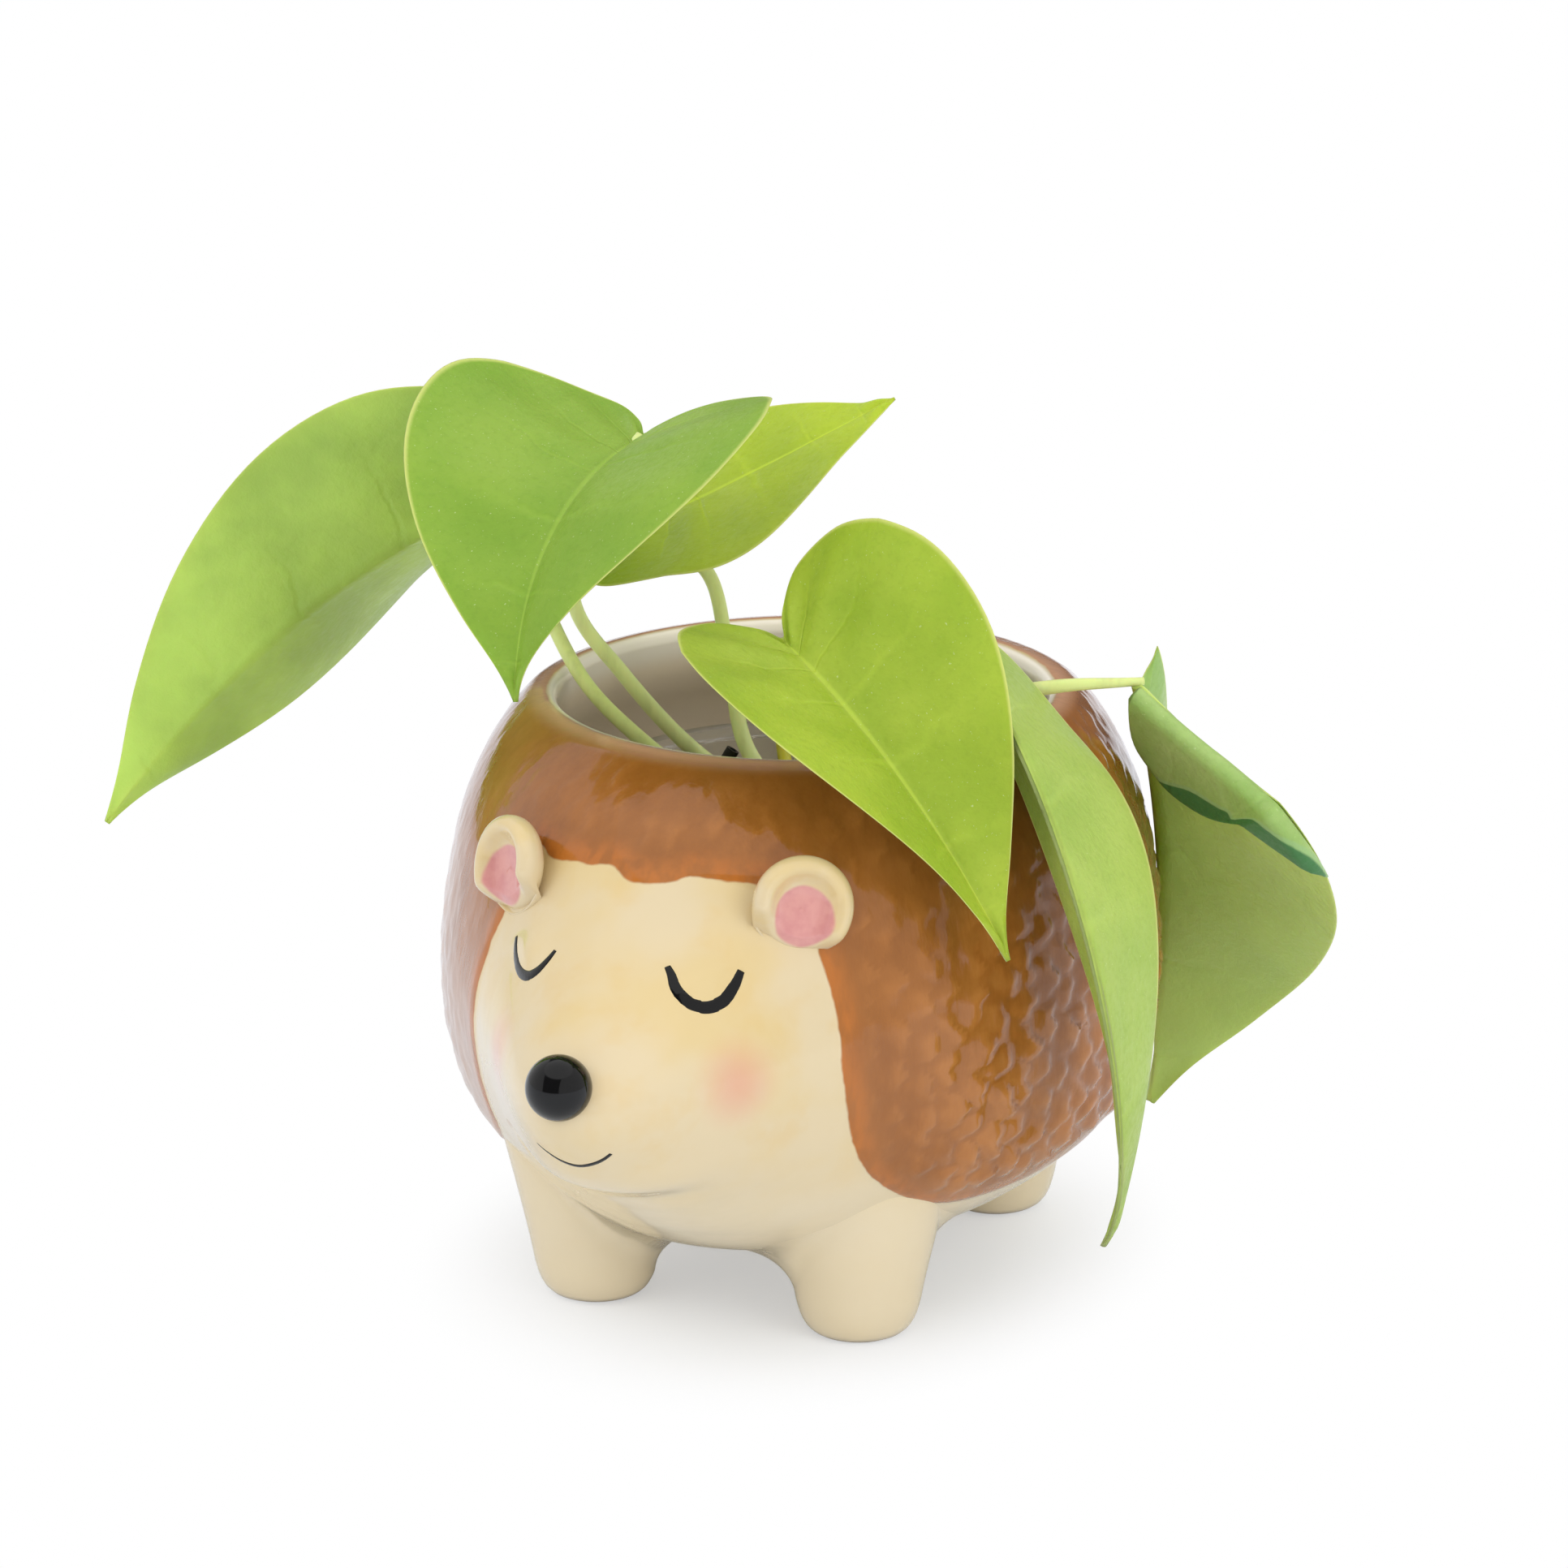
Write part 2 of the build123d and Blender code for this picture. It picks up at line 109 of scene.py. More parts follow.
# Ears: turn, backward lean and the turn of the open lower end in degrees, and the places of their
# middles from those of the CAD ears in millimetres. Nose: place of its middle in the same way.
EAR_TURN, EAR_LEAN, EAR_OPENING = 37.0, 14.0, 22.0
EAR_SHIFT = {"left_ear": (-0.4, -1.1, -1.1), "right_ear": (-0.6, -0.7, -0.6)}
NOSE_SHIFT = (-0.9, 0.0, -0.8)
CHEEKS = ((0.0196, -0.0730, 0.0542), (-0.0192, -0.0740, 0.0538))

# Margin of a leaf blade laid flat, as shares of its length and half width, and the share of the
# midrib where the line to each margin point starts.
MARGIN = np.array(((0, 0), (-0.09, 0.13), (-0.165, 0.36), (-0.13, 0.66), (0.0, 0.88), (0.16, 1.0),
                   (0.36, 0.96), (0.57, 0.75), (0.76, 0.44), (0.90, 0.16), (1.0, 0.0)))
MIDRIB = np.array((0, 0.015, 0.04, 0.08, 0.14, 0.23, 0.37, 0.56, 0.75, 0.90, 1.0))

BLADE_THICKNESS = 0.48
UNDERSIDE = (0.69, 0.76, 0.44)

# Each blade: base, length and half width in millimetres, lobe size, heading, pitch at base and
# tip, roll, twist, fold and curl of each half in degrees, widths of the halves, taper of the tip,
# the deep and pale green of its upper face, and the green of its underside unless it is UNDERSIDE.
# A negative lobe size stands for a blade whose right lobe is rolled under.
LEAVES = {
    "left": dict(base=(-54.4, 11.7, 119.0), size=(90.0, 30.8, 1.0), heading=-164.0,
                 pitch=(-25.0, -61.0), roll=36.5, twist=39.0, fold=(16.0, 16.0),
                 curl=(5.0, 27.0), sides=(1.00, 1.025), taper=0.40,
                 greens=((0.64, 0.76, 0.35), (0.71, 0.81, 0.42)), below=(0.73, 0.85, 0.39)),
    "front": dict(base=(-22.8, -9.3, 135.0), size=(55.6, 32.2, 0.77), heading=-107.0,
                  pitch=(-7.5, -76.5), roll=13.5, twist=-16.5, fold=(16.0, 15.5),
                  curl=(-20.0, 29.0), sides=(1.03, 1.06), taper=0.66,
                  greens=((0.49, 0.63, 0.19), (0.56, 0.68, 0.24))),
    "back": dict(base=(-27.9, -0.5, 117.8), size=(46.4, 24.6, 1.43), heading=33.0,
                 pitch=(22.5, 28.0), roll=11.0, twist=2.0, fold=(1.5, 3.5),
                 curl=(-4.5, -2.5), sides=(1.01, 1.00), taper=0.32,
                 greens=((0.61, 0.70, 0.12), (0.70, 0.78, 0.18)), below=(0.70, 0.78, 0.22)),
    "centre": dict(base=(9.1, -28.6, 109.8), size=(64.3, 26.6, 0.84), heading=-30.5,
                   pitch=(-21.0, -63.5), roll=19.0, twist=-29.0, fold=(27.5, 14.0),
                   curl=(23.5, 24.0), sides=(1.04, 0.88), taper=0.62,
                   greens=((0.58, 0.68, 0.18), (0.67, 0.75, 0.24))),
    "side": dict(base=(36.0, -19.9, 108.0), size=(120.2, 23.4, 0.79), heading=-46.5,
                 pitch=(-16.5, -145.5), roll=11.0, twist=4.5, fold=(-48.5, -105.0),
                 curl=(0.1, 40.0), sides=(1.19, 0.54), taper=0.33,
                 greens=((0.62, 0.73, 0.31), (0.69, 0.78, 0.37))),
    # Painted light: the curled blade's underside green is made very bright, standing in for light
    # shining through the leaf from behind.
    "curled": dict(base=(52.0, 11.0, 97.7), size=(98.6, 35.65, -0.2), heading=95.0,
                   pitch=(-49.0, -78.5), roll=16.5, twist=-31.0, fold=(90.0, -15.0),
                   curl=(-22.5, -11.5), sides=(0.24, 1.08), taper=0.0,
                   greens=((0.55, 0.70, 0.34), (0.69, 0.79, 0.48)), below=(0.88, 0.98, 0.52)),
}

# Points that each stem passes, in millimetres, from the crown to the base of its blade.
STEMS = {
    "left": ((0, 0, 68), (-23.4, -7.5, 83.9), (-33.7, -7.4, 92.5), (-42.0, -3.5, 102.0)),
    "front": ((0, 0, 72), (-14.4, -8.1, 83.7), (-24.3, -15.4, 98.0), (-29.7, -20.9, 109.5),
              (-30.2, -20.5, 122.5)),
    "back": ((0, 0, 73.6), (-9.0, 0.8, 81.5), (-14.7, 4.8, 97.5), (-19.1, 7.3, 109.0)),
    "centre": ((0, 0, 74), (3.4, -7.6, 85.6), (7.9, -18.4, 99.4)),
    "side": ((0, 0, 70.7), (9.5, -0.6, 84.3), (22.5, -5.0, 97.8)),
    "curled": ((0, 0, 67.9), (16.0, 2.0, 83.0), (29.6, 1.5, 94.5), (40.9, 4.0, 97.5)),
}
YELLOW_STEM = ((0, 0, 71.3), (-7.6, 10.5, 82.0), (-7.9, 10.7, 89.9))

# Painted lines on the face, in millimetres: points on the head, in the order of the brush.
EYE_LEFT = ((7.6, -71.2, 70.2), (8.4, -71.6, 69.0), (9.9, -73.0, 67.2), (12.3, -73.1, 65.6),
            (14.1, -72.2, 65.1), (16.0, -70.1, 65.6), (16.9, -67.6, 67.4), (17.2, -65.7, 69.2))
EYE_RIGHT = ((-21.4, -62.0, 68.6), (-20.8, -63.6, 67.2), (-19.2, -66.2, 65.7), (-17.3, -68.7, 65.2),
             (-15.4, -70.4, 65.7), (-13.6, -71.0, 67.0), (-12.2, -70.3, 68.6), (-11.4, -69.4, 69.8))
SMILE = ((-6.6, -88.0, 45.9), (-4.6, -88.4, 44.7), (-2.2, -88.2, 43.7), (0.2, -88.1, 43.3),
         (2.6, -88.4, 43.9), (4.6, -88.6, 44.9), (6.0, -88.7, 46.1))


# Numbers and surfaces

def through(knots, values, at):
    """Smooth curve through values at knots: a cubic between each pair, whose slopes are the mean of
    the neighbouring chords weighted by their lengths."""
    knots, values, at = (np.asarray(item, float) for item in (knots, values, at))
    step = np.diff(knots)
    chord = np.diff(values, axis=0) / step.reshape((-1,) + (1,) * (values.ndim - 1))
    slope = np.empty_like(values)
    slope[0], slope[-1] = chord[0], chord[-1]
    share = (step[:-1] / (step[:-1] + step[1:])).reshape((-1,) + (1,) * (values.ndim - 1))
    slope[1:-1] = chord[:-1] * (1 - share) + chord[1:] * share
    index = np.clip(np.searchsorted(knots, at, side="right") - 1, 0, len(step) - 1)
    t = (at - knots[index]) / step[index]
    h = step[index]
    if values.ndim > 1:
        t, h = t[..., None], h[..., None]
    a, b = values[index], values[index + 1]
    return (a * (1 + 2 * t) * (1 - t) ** 2 + b * t * t * (3 - 2 * t)
            + slope[index] * h * t * (1 - t) ** 2 - slope[index + 1] * h * t * t * (1 - t))


def evenly(values, share):
    """Smooth curve through evenly spaced values, at shares of its run."""
    return through(np.linspace(0, 1, len(values)), values, share)


def run_along(points):
    """Distance along a line of points, at each of them."""
    return np.concatenate([[0], np.cumsum(np.linalg.norm(np.diff(points, axis=0), axis=1))])


def smooth_path(points, samples):
    """Places on the smooth curve through points, and their shares of its length."""
    knots = run_along(points)
    at = np.linspace(0, knots[-1], samples)
    return through(knots, points, at), at / knots[-1]


def bezier(t, a, b, c, d):
    """Place at share t of a cubic curve that leaves a towards b and arrives at d from c."""
    return ((1 - t) ** 3 * a + 3 * t * (1 - t) ** 2 * b + 3 * t * t * (1 - t) * c + t ** 3 * d)


def ease(low, high, value):
    """0 below low, 1 above high, and a smooth step between."""
    t = np.clip((value - low) / (high - low), 0, 1)
    return t * t * (3 - 2 * t)


def bell(value, width):
    """1 at zero, falling off on both sides as a bell curve."""
    return np.exp(-(value / width) ** 2)


def unit(vectors):
    return vectors / np.maximum(np.linalg.norm(vectors, axis=-1, keepdims=True), 1e-9)


def turned(first, second, angle):
    """The direction first, turned by an angle towards second."""
    return first * np.cos(angle) + second * np.sin(angle)


def circle(count):
    """Angles spaced evenly once round."""
    return 2 * np.pi * np.arange(count) / count


def heading_vector(turn, rise):
    """Direction at an angle round from -Y towards +X and an angle above the level."""
    return np.array((math.sin(turn) * math.cos(rise), -math.cos(turn) * math.cos(rise),
                     math.sin(rise)))


def skin(rows):
    """Points and faces over rows of points that each run once round: quads between neighbours and a
    fan to the middle of the first and of the last row, all facing outward."""
    count, around, _ = rows.shape
    ring = np.arange(around)
    after = np.roll(ring, -1)
    base = np.arange(count - 1)[:, None] * around
    quads = np.stack([base + ring, base + after, base + around + after, base + around + ring], -1)
    quads = quads.reshape(-1, 4)
    points = np.concatenate([rows.reshape(-1, 3), rows[:1].mean(axis=1), rows[-1:].mean(axis=1)])
    pole = np.full(around, count * around)
    last = (count - 1) * around
    fans = np.concatenate([np.stack([pole, after, ring], -1),
                           np.stack([pole + 1, last + ring, last + after], -1)])
    halves = np.concatenate([quads[:, :3], quads[:, [0, 2, 3]], fans])
    a, b, c = (points[halves[:, column]] for column in range(3))
    if np.einsum("ij,ij->", a, np.cross(b, c)) < 0:
        quads, fans = quads[:, ::-1], fans[:, ::-1]
    return points, quads, fans


def spread(values):
    """Values on the rows of a skin, followed by those of its two poles."""
    return np.concatenate([values.reshape(-1), [values[0].mean(), values[-1].mean()]])


def joined(parts):
    """Several skins as one."""
    starts = np.cumsum([0] + [len(part[0]) for part in parts[:-1]])
    return (np.concatenate([part[0] for part in parts]),
            np.concatenate([part[1] + start for part, start in zip(parts, starts)]),
            np.concatenate([part[2] + start for part, start in zip(parts, starts)]))


def add_piece(name, surface, material, body, nodes=(), values=None, shading=None):
    """Mesh object at the origin from a skin in millimetres, with values and shading normals per
    point. It rides on its body, takes its slot and stands for its CAD nodes."""
    points, quads, fans = surface
    mesh = bpy.data.meshes.new(name)
    mesh.from_pydata((points * MM).tolist(), [], quads.tolist() + fans.tolist())
    for key, row in (values or {}).items():
        layer = mesh.attributes.new(key, "FLOAT", "POINT")
        layer.data.foreach_set("value", np.asarray(row, np.float32))
    mesh.polygons.foreach_set("use_smooth", np.full(len(mesh.polygons), True))
    mesh.materials.append(material)
    mesh.update()
    piece = bpy.data.objects.new(name, mesh)
    bpy.context.scene.collection.objects.link(piece)
    if shading is not None:
        mesh.normals_split_custom_set_from_vertices(shading.tolist())
    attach(piece, body)
    if nodes:
        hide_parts(*nodes)


def box_corners(node):
    """Low and high corner of a CAD node in millimetres."""
    return np.array([list(corner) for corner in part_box(node)]) / MM


# Materials

def linear(colour):
    """A screen colour from 0 to 1 as the linear value that a shader takes."""
    return tuple(c / 12.92 if c <= 0.04045 else ((c + 0.055) / 1.055) ** 2.4 for c in colour)


def scaled(colour, factor):
    return tuple(c * factor for c in colour)


class Nodes:
    """Fills a node tree: each method adds nodes and gives back an output. Colours of three parts
    are screen colours."""

    def __init__(self, tree):
        self.tree = tree
        tree.nodes.clear()

    def feed(self, socket, value):
        if isinstance(value, bpy.types.NodeSocket):
            self.tree.links.new(value, socket)
        elif socket.type == "RGBA" and len(value) == 3:
            socket.default_value = (*linear(value), 1.0)
        else:
            socket.default_value = value

    def node(self, kind, inputs=(), output=0, **settings):
        node = self.tree.nodes.new("ShaderNode" + kind)
        for key, value in settings.items():
            setattr(node, key, value)
        for key, value in dict(inputs).items():
            self.feed(node.inputs[key], value)
        return node.outputs[output]

    def place(self):
        return self.node("TexCoord", output="Object")

    def stretched(self, *scale):
        return self.node("Mapping", {"Vector": self.place(), "Scale": scale})

    def value(self, name):
        return self.node("Attribute", output="Fac", attribute_name=name)

    def noise(self, scale, detail=2.0, rough=0.5, vector=None):
        return self.node("TexNoise", {"Vector": vector or self.place(), "Scale": scale,
                                                "Detail": detail, "Roughness": rough})

    def math(self, operation, a, b=0.0):
        return self.node("Math", {0: a, 1: b}, operation=operation)

    def times(self, a, b):
        return self.math("MULTIPLY", a, b)

    def plus(self, a, b):
        return self.math("ADD", a, b)

    def step(self, value, low, high, out_low=0.0, out_high=1.0):
        return self.node("MapRange", {"Value": value, "From Min": low, "From Max": high,
                                                "To Min": out_low, "To Max": out_high},
                         interpolation_type="SMOOTHSTEP")

    def mix(self, factor, a, b):
        return self.node("Mix", {0: factor, 6: a, 7: b}, 2, data_type="RGBA")

    def over(self, base, top, value, *limits):
        """The colour top laid over base by a smooth step of the value between its limits."""
        return self.mix(self.step(value, *limits), base, top)

    def light(self, share, a, b):
        return self.node("MixShader", {0: share, 1: a, 2: b})

    def bump(self, height, strength, distance, normal=None):
        inputs = {"Height": height, "Strength": strength, "Distance": distance}
        if normal:
            inputs["Normal"] = normal
        return self.node("Bump", inputs)

    def seen(self):
        """1 for rays from the camera and rays that went through clear plastic."""
        return self.math("MAXIMUM", self.node("LightPath", output="Is Camera Ray"),
                         self.node("LightPath", output="Is Transmission Ray"))


class Finish(Nodes):
    """One procedural material with a principled shader."""

    def __init__(self, name, **settings):
        self.material = bpy.data.materials.new(name)
        self.material.use_nodes = True
        super().__init__(self.material.node_tree)
        self.shader = self.tree.nodes.new("ShaderNodeBsdfPrincipled")
        self.output = self.tree.nodes.new("ShaderNodeOutputMaterial")
        self.feed(self.output.inputs[0], self.shader.outputs[0])
        self.paint(**settings)

    def paint(self, **inputs):
        for key, value in inputs.items():
            self.feed(self.shader.inputs[key.replace("_", " ")], value)
        return self.material


GLAZE = {"IOR": 1.45, "Specular_IOR_Level": 0.3}


def glazed_coat(settings):
    """Cream glaze with yellow clouds and blush, under a brushed brown coat of moulded tufts that
    starts where the attribute coat passes zero, and cream again past the lip. On the tufts the
    brown is lightened at the crests as painted highlight and darkened between them as painted
    shade, over thin and pooled glaze. Inside the lip a whiter band and a lighter wall are painted
    light."""
    f = Finish("glazed cream and brown", Coat_Weight=0.65, Coat_Roughness=0.03, Coat_IOR=1.45,
               **GLAZE)
    coat, inside, tuft = f.value("coat"), f.value("inside"), f.value("tuft")
    height = f.node("SeparateXYZ", {0: f.place()}, 2)
    cream = f.over(settings.cream, settings.yellow, f.noise(48.0, 3.0, 0.5), 0.38, 0.68)
    cream = f.over(cream, settings.yellow_deep, f.noise(110.0, 3.0, 0.55), 0.5, 0.72, 0.0, 0.3)
    cream = f.over(cream, settings.cream_low, height, 0.020, 0.046, 0.8, 0.0)
    for cheek in CHEEKS:
        far = f.node("VectorMath", {0: f.place(), 1: cheek}, "Value",
                     operation="DISTANCE")
        cream = f.over(cream, settings.blush, far, 0.0, 0.0088, settings.blush_strength, 0.0)
    wander = f.math("SUBTRACT", f.noise(240.0, 2.0), 0.5)
    ragged = f.plus(coat, f.times(wander, 0.8))
    outside = f.step(f.plus(inside, f.times(wander, 0.7)), 0.3, 0.8, 1.0, 0.0)
    covered = f.times(f.step(ragged, -0.1, 0.25), outside)
    streaks = f.noise(95.0, 5.0, 0.7, f.stretched(1.0, 1.0, 0.3))
    brown = f.over(settings.brown_dark_and_shade, settings.brown, streaks, 0.32, 0.7)
    brown = f.over(brown, settings.brown_pale_and_highlight, f.noise(38.0, 3.0, 0.55), 0.42, 0.72, 0.0, 0.55)
    # Painted highlight on the tuft crests, where the glaze also runs thin.
    brown = f.over(brown, settings.brown_pale_and_highlight, tuft, 0.35, 0.8, 0.0, 0.7)
    # Painted shade in the low ground between and behind the tufts, where glaze also pools.
    brown = f.over(brown, settings.brown_dark_and_shade, tuft, 0.01, 0.2, 0.5, 0.0)
    hairs = f.noise(520.0, 2.0, 0.5, f.stretched(1.0, 1.0, 0.25))
    brushed = f.times(f.step(ragged, 0.8, 4.0, 0.7, 0.0), f.step(hairs, 0.3, 0.65, 0.35, 1.0))
    brown = f.mix(f.times(brushed, outside), brown, settings.orange)
    brown = f.over(brown, settings.crest, inside, -4.5, -0.3, 0.0, 0.75)
    # Painted light: a whiter lit band over the first 4.5 mm inside the crest, then the inner wall,
    # a little beiger as painted shade, both lighter than the outer cream to stand in for light in
    # the mouth.
    wall = f.over(settings.lip, settings.inner_wall_painted_light, inside, 4.5, 9.0)
    colour = f.over(f.mix(covered, cream, brown), wall, inside, 0.6, 1.4)
    sole = f.step(height, 0.0003, 0.0012, 1.0, 0.0)
    colour = f.mix(sole, colour, settings.bare_clay)
    flow = f.plus(f.noise(45.0, 2.0, 0.4), f.times(f.noise(140.0, 2.0, 0.5), 0.35))
    brush = f.times(f.noise(330.0, 3.0, 0.6, f.stretched(1.0, 1.0, 0.22)), covered)
    normal = f.bump(brush, 0.35, 0.0005, f.bump(flow, 0.2, 0.0018))
    rough = f.plus(f.times(sole, 0.5), f.step(streaks, 0.2, 0.8, 0.12, 0.22))
    return f.paint(Base_Color=colour, Normal=normal, Roughness=rough)


def glazed_ear(settings):
    """Cream glaze with a soft pink patch painted where the attribute patch, a distance in
    millimetres, is small."""
    f = Finish("glazed ear", Roughness=0.15, Coat_Weight=0.65, Coat_Roughness=0.03, **GLAZE)
    cream = f.over(settings.cream, settings.yellow, f.noise(90.0, 4.0, 0.6), 0.38, 0.68)
    pink = f.over(settings.pink, settings.pink_deep, f.noise(330.0, 3.0), 0.35, 0.7)
    patch = f.plus(f.value("patch"), f.times(f.noise(260.0, 2.0), 0.5))
    return f.paint(Base_Color=f.over(cream, pink, patch, 4.5, 5.1, 1.0, 0.0),
                   Normal=f.bump(f.noise(70.0, 2.0), 0.2, 0.002))


def gloss_black(name, ink):
    """Black glaze, slightly uneven, under a clear coat."""
    f = Finish(name, Roughness=0.1, Coat_Weight=0.25, Coat_Roughness=0.02, **GLAZE)
    return f.paint(Base_Color=f.over(ink, scaled(ink, 1.5), f.noise(300.0, 3.0), 0.35, 0.75),
                   Normal=f.bump(f.noise(120.0, 2.0), 0.15, 0.0006))


def leaf_finish(name, pale, deep, below, stripe):
    """Leaf tissue: two greens in soft clouds, paler along the midrib, side veins and margin, a
    greyer underside, and where stripe is set a dark band with a cream edge on the upper face."""
    f = Finish(name, IOR=1.42, Subsurface_Weight=0.18, Subsurface_Scale=0.002,
               Subsurface_Radius=(0.5, 1.0, 0.2), Specular_IOR_Level=0.42)
    along = f.value("along")
    wide = f.math("ABSOLUTE", f.value("across"))
    cloud, grain = f.noise(42.0, 4.0, 0.55), f.noise(900.0, 4.0, 0.6)
    lane = f.plus(f.times(along, 8.0), f.times(cloud, 0.9))
    vein = f.math("ABSOLUTE", f.math("SUBTRACT", f.math("FRACT", lane), 0.5))
    vein = f.times(f.step(vein, 0.0, 0.07, 1.0, 0.0), f.step(wide, 0.06, 0.9, 0.75, 0.1))
    light = tuple(min(1.0, c * 1.16 + 0.04) for c in pale)
    colour = f.over(deep, pale, cloud, 0.3, 0.72)
    colour = f.over(colour, scaled(deep, 0.86), grain, 0.45, 0.75, 0.0, 0.22)
    colour = f.mix(f.times(vein, 0.16), colour, light)
    colour = f.over(colour, light, wide, 0.006, 0.028, 0.4, 0.0)
    colour = f.over(colour, (0.86, 0.88, 0.52), wide, 0.965, 0.998, 0.0, 0.7)
    colour = f.over(colour, (0.82, 0.88, 0.66), f.noise(2600.0, 1.0), 0.72, 0.78, 0.0, 0.5)
    pallid = f.over(scaled(below, 0.85), below, cloud, 0.3, 0.72)
    pallid = f.mix(f.times(vein, 0.12), pallid, scaled(below, 0.8))
    if stripe:
        wander = f.math("SUBTRACT", f.noise(220.0, 3.0), 0.5)
        band = f.plus(f.value("stripe"), f.times(wander, 0.9))
        colour = f.over(colour, (0.60, 0.74, 0.48), band, 0.0, 0.6, 0.0, 0.85)
        colour = f.over(colour, (0.26, 0.48, 0.26), band, 1.0, 1.5)
        quilt = f.noise(70.0, 3.0, 0.5, f.stretched(1.0, 1.0, 0.55))
        # Painted light and shade: the underside is lighter near the base and darker towards the
        # tip.
        pallid = f.over(pallid, scaled(below, 0.74), along, 0.1, 0.85, 0.0, 0.8)
        pallid = f.over(pallid, scaled(below, 0.8), quilt, 0.42, 0.66, 0.0, 0.55)
    colour = f.over(colour, pallid, f.value("under"), 0.4, 0.6)
    ribs = f.plus(f.times(vein, -0.22), f.times(grain, 0.22))
    quilted = f.plus(cloud, f.times(f.noise(150.0, 2.0), 0.4))
    return f.paint(Base_Color=colour, Normal=f.bump(f.plus(ribs, quilted), 0.6, 0.0011),
                   Roughness=f.step(grain, 0.3, 0.7, 0.36, 0.5))


def stem_finish(name, green, pale):
    """Smooth stem with fine lengthwise fibres, paler towards its root."""
    f = Finish(name, Roughness=0.38, IOR=1.42, Subsurface_Weight=0.15, Subsurface_Scale=0.002)
    fibre = f.noise(420.0, 3.0, 0.6, f.stretched(1.0, 1.0, 0.12))
    colour = f.over(pale, green, f.value("along"), 0.0, 0.5)
    colour = f.over(colour, scaled(green, 0.8), fibre, 0.4, 0.75, 0.0, 0.35)
    return f.paint(Base_Color=colour, Normal=f.bump(fibre, 0.3, 0.0004))


def clear_plastic():
    """Thin clear cup wall, faintly grey, with moulding ripples."""
    f = Finish("clear cup plastic", Roughness=0.06, IOR=1.45, Transmission_Weight=0.92, Alpha=0.45)
    return f.paint(Base_Color=f.over((0.93, 0.95, 0.95), (0.84, 0.87, 0.88), f.noise(60.0, 2.0),
                                     0.3, 0.7),
                   Normal=f.bump(f.noise(150.0, 1.0), 0.2, 0.0005))


def peat():
    """Damp dark mix of fibres and crumbs with a few pale grains."""
    f = Finish("damp potting mix", Roughness=0.85)
    crumb = f.noise(900.0, 5.0, 0.7)
    grain = f.node("TexVoronoi", {"Scale": 260.0}, "Distance")
    colour = f.over((0.13, 0.09, 0.06), (0.30, 0.21, 0.14), crumb, 0.35, 0.7)
    colour = f.over(colour, (0.80, 0.77, 0.70), grain, 0.12, 0.2, 0.8, 0.0)
    return f.paint(Base_Color=colour, Normal=f.bump(crumb, 0.8, 0.002))


def dull_black():
    """Black moulded tube, with paler scuffs in patches all over."""
    f = Finish("black stake plastic", Roughness=0.45)
    scuff = f.noise(700.0, 4.0, 0.7)
    return f.paint(Base_Color=f.over((0.05, 0.05, 0.05), (0.16, 0.16, 0.16), scuff, 0.55, 0.75),
                   Normal=f.bump(scuff, 0.3, 0.0003))


def studio_floor():
    """Pale floor that is seen as white, and keeps part of the shadow near the object."""
    f = Finish("studio floor", Roughness=0.9)
    f.paint(Base_Color=f.over((0.86, 0.89, 0.95, 1.0), (0.88, 0.91, 0.96, 1.0), f.noise(3.0),
                              0.3, 0.7))
    far = f.node("VectorMath", {0: f.stretched(1.0, 0.8, 1.0)}, "Value",
                 operation="LENGTH")
    white = f.times(f.seen(), f.step(far, 0.029, 0.062, 0.42, 1.0))
    glow = f.node("Emission", {"Color": (1.0, 1.0, 1.0), "Strength": 1.0})
    f.feed(f.output.inputs[0], f.light(white, f.shader.outputs[0], glow))
    return f.material


def studio_world(tree, strength):
    """White surroundings of the given strength. Mirrored rays meet a white ceiling, a pale left and
    right side, and a dim room between them."""
    f = Nodes(tree)
    way = f.node("TexCoord", output="Generated")
    sideways = f.node("SeparateXYZ", {0: way}, "X")
    room = f.step(f.node("SeparateXYZ", {0: way}, "Z"), 0.72, 0.78, 0.12, 1.0)
    for start, end, bright in ((-0.50, -0.57, 0.8), (0.38, 0.45, 0.75)):
        room = f.math("MAXIMUM", room, f.step(sideways, start, end, 0.0, bright))
    around, mirrored, white = (
        f.node("Background", {"Color": (1.0, 1.0, 1.0), "Strength": power})
        for power in (strength, room, 1.0))
    glossy = f.node("LightPath", output="Is Glossy Ray")
    output = tree.nodes.new("ShaderNodeOutputWorld")
    f.feed(output.inputs[0], f.light(f.seen(), f.light(glossy, around, mirrored), white))


# Shapes

def body_section(rows, angle):
    """Point of the body at a row of sizes and an angle from +X: an ellipse with one reach in front
    and another behind, and in front a swell that falls off sideways as a bell curve."""
    height, wide, front, rear, snout = (rows[..., column] for column in range(5))
    x = wide * np.cos(angle)
    side = np.sin(angle)
    swell = snout * bell(x, SNOUT_SPREAD) * np.sqrt(np.clip(-side, 0, None))
    y = np.where(side < 0, front, rear) * side - swell
    return np.stack([x, y, np.broadcast_to(height, x.shape)], -1)


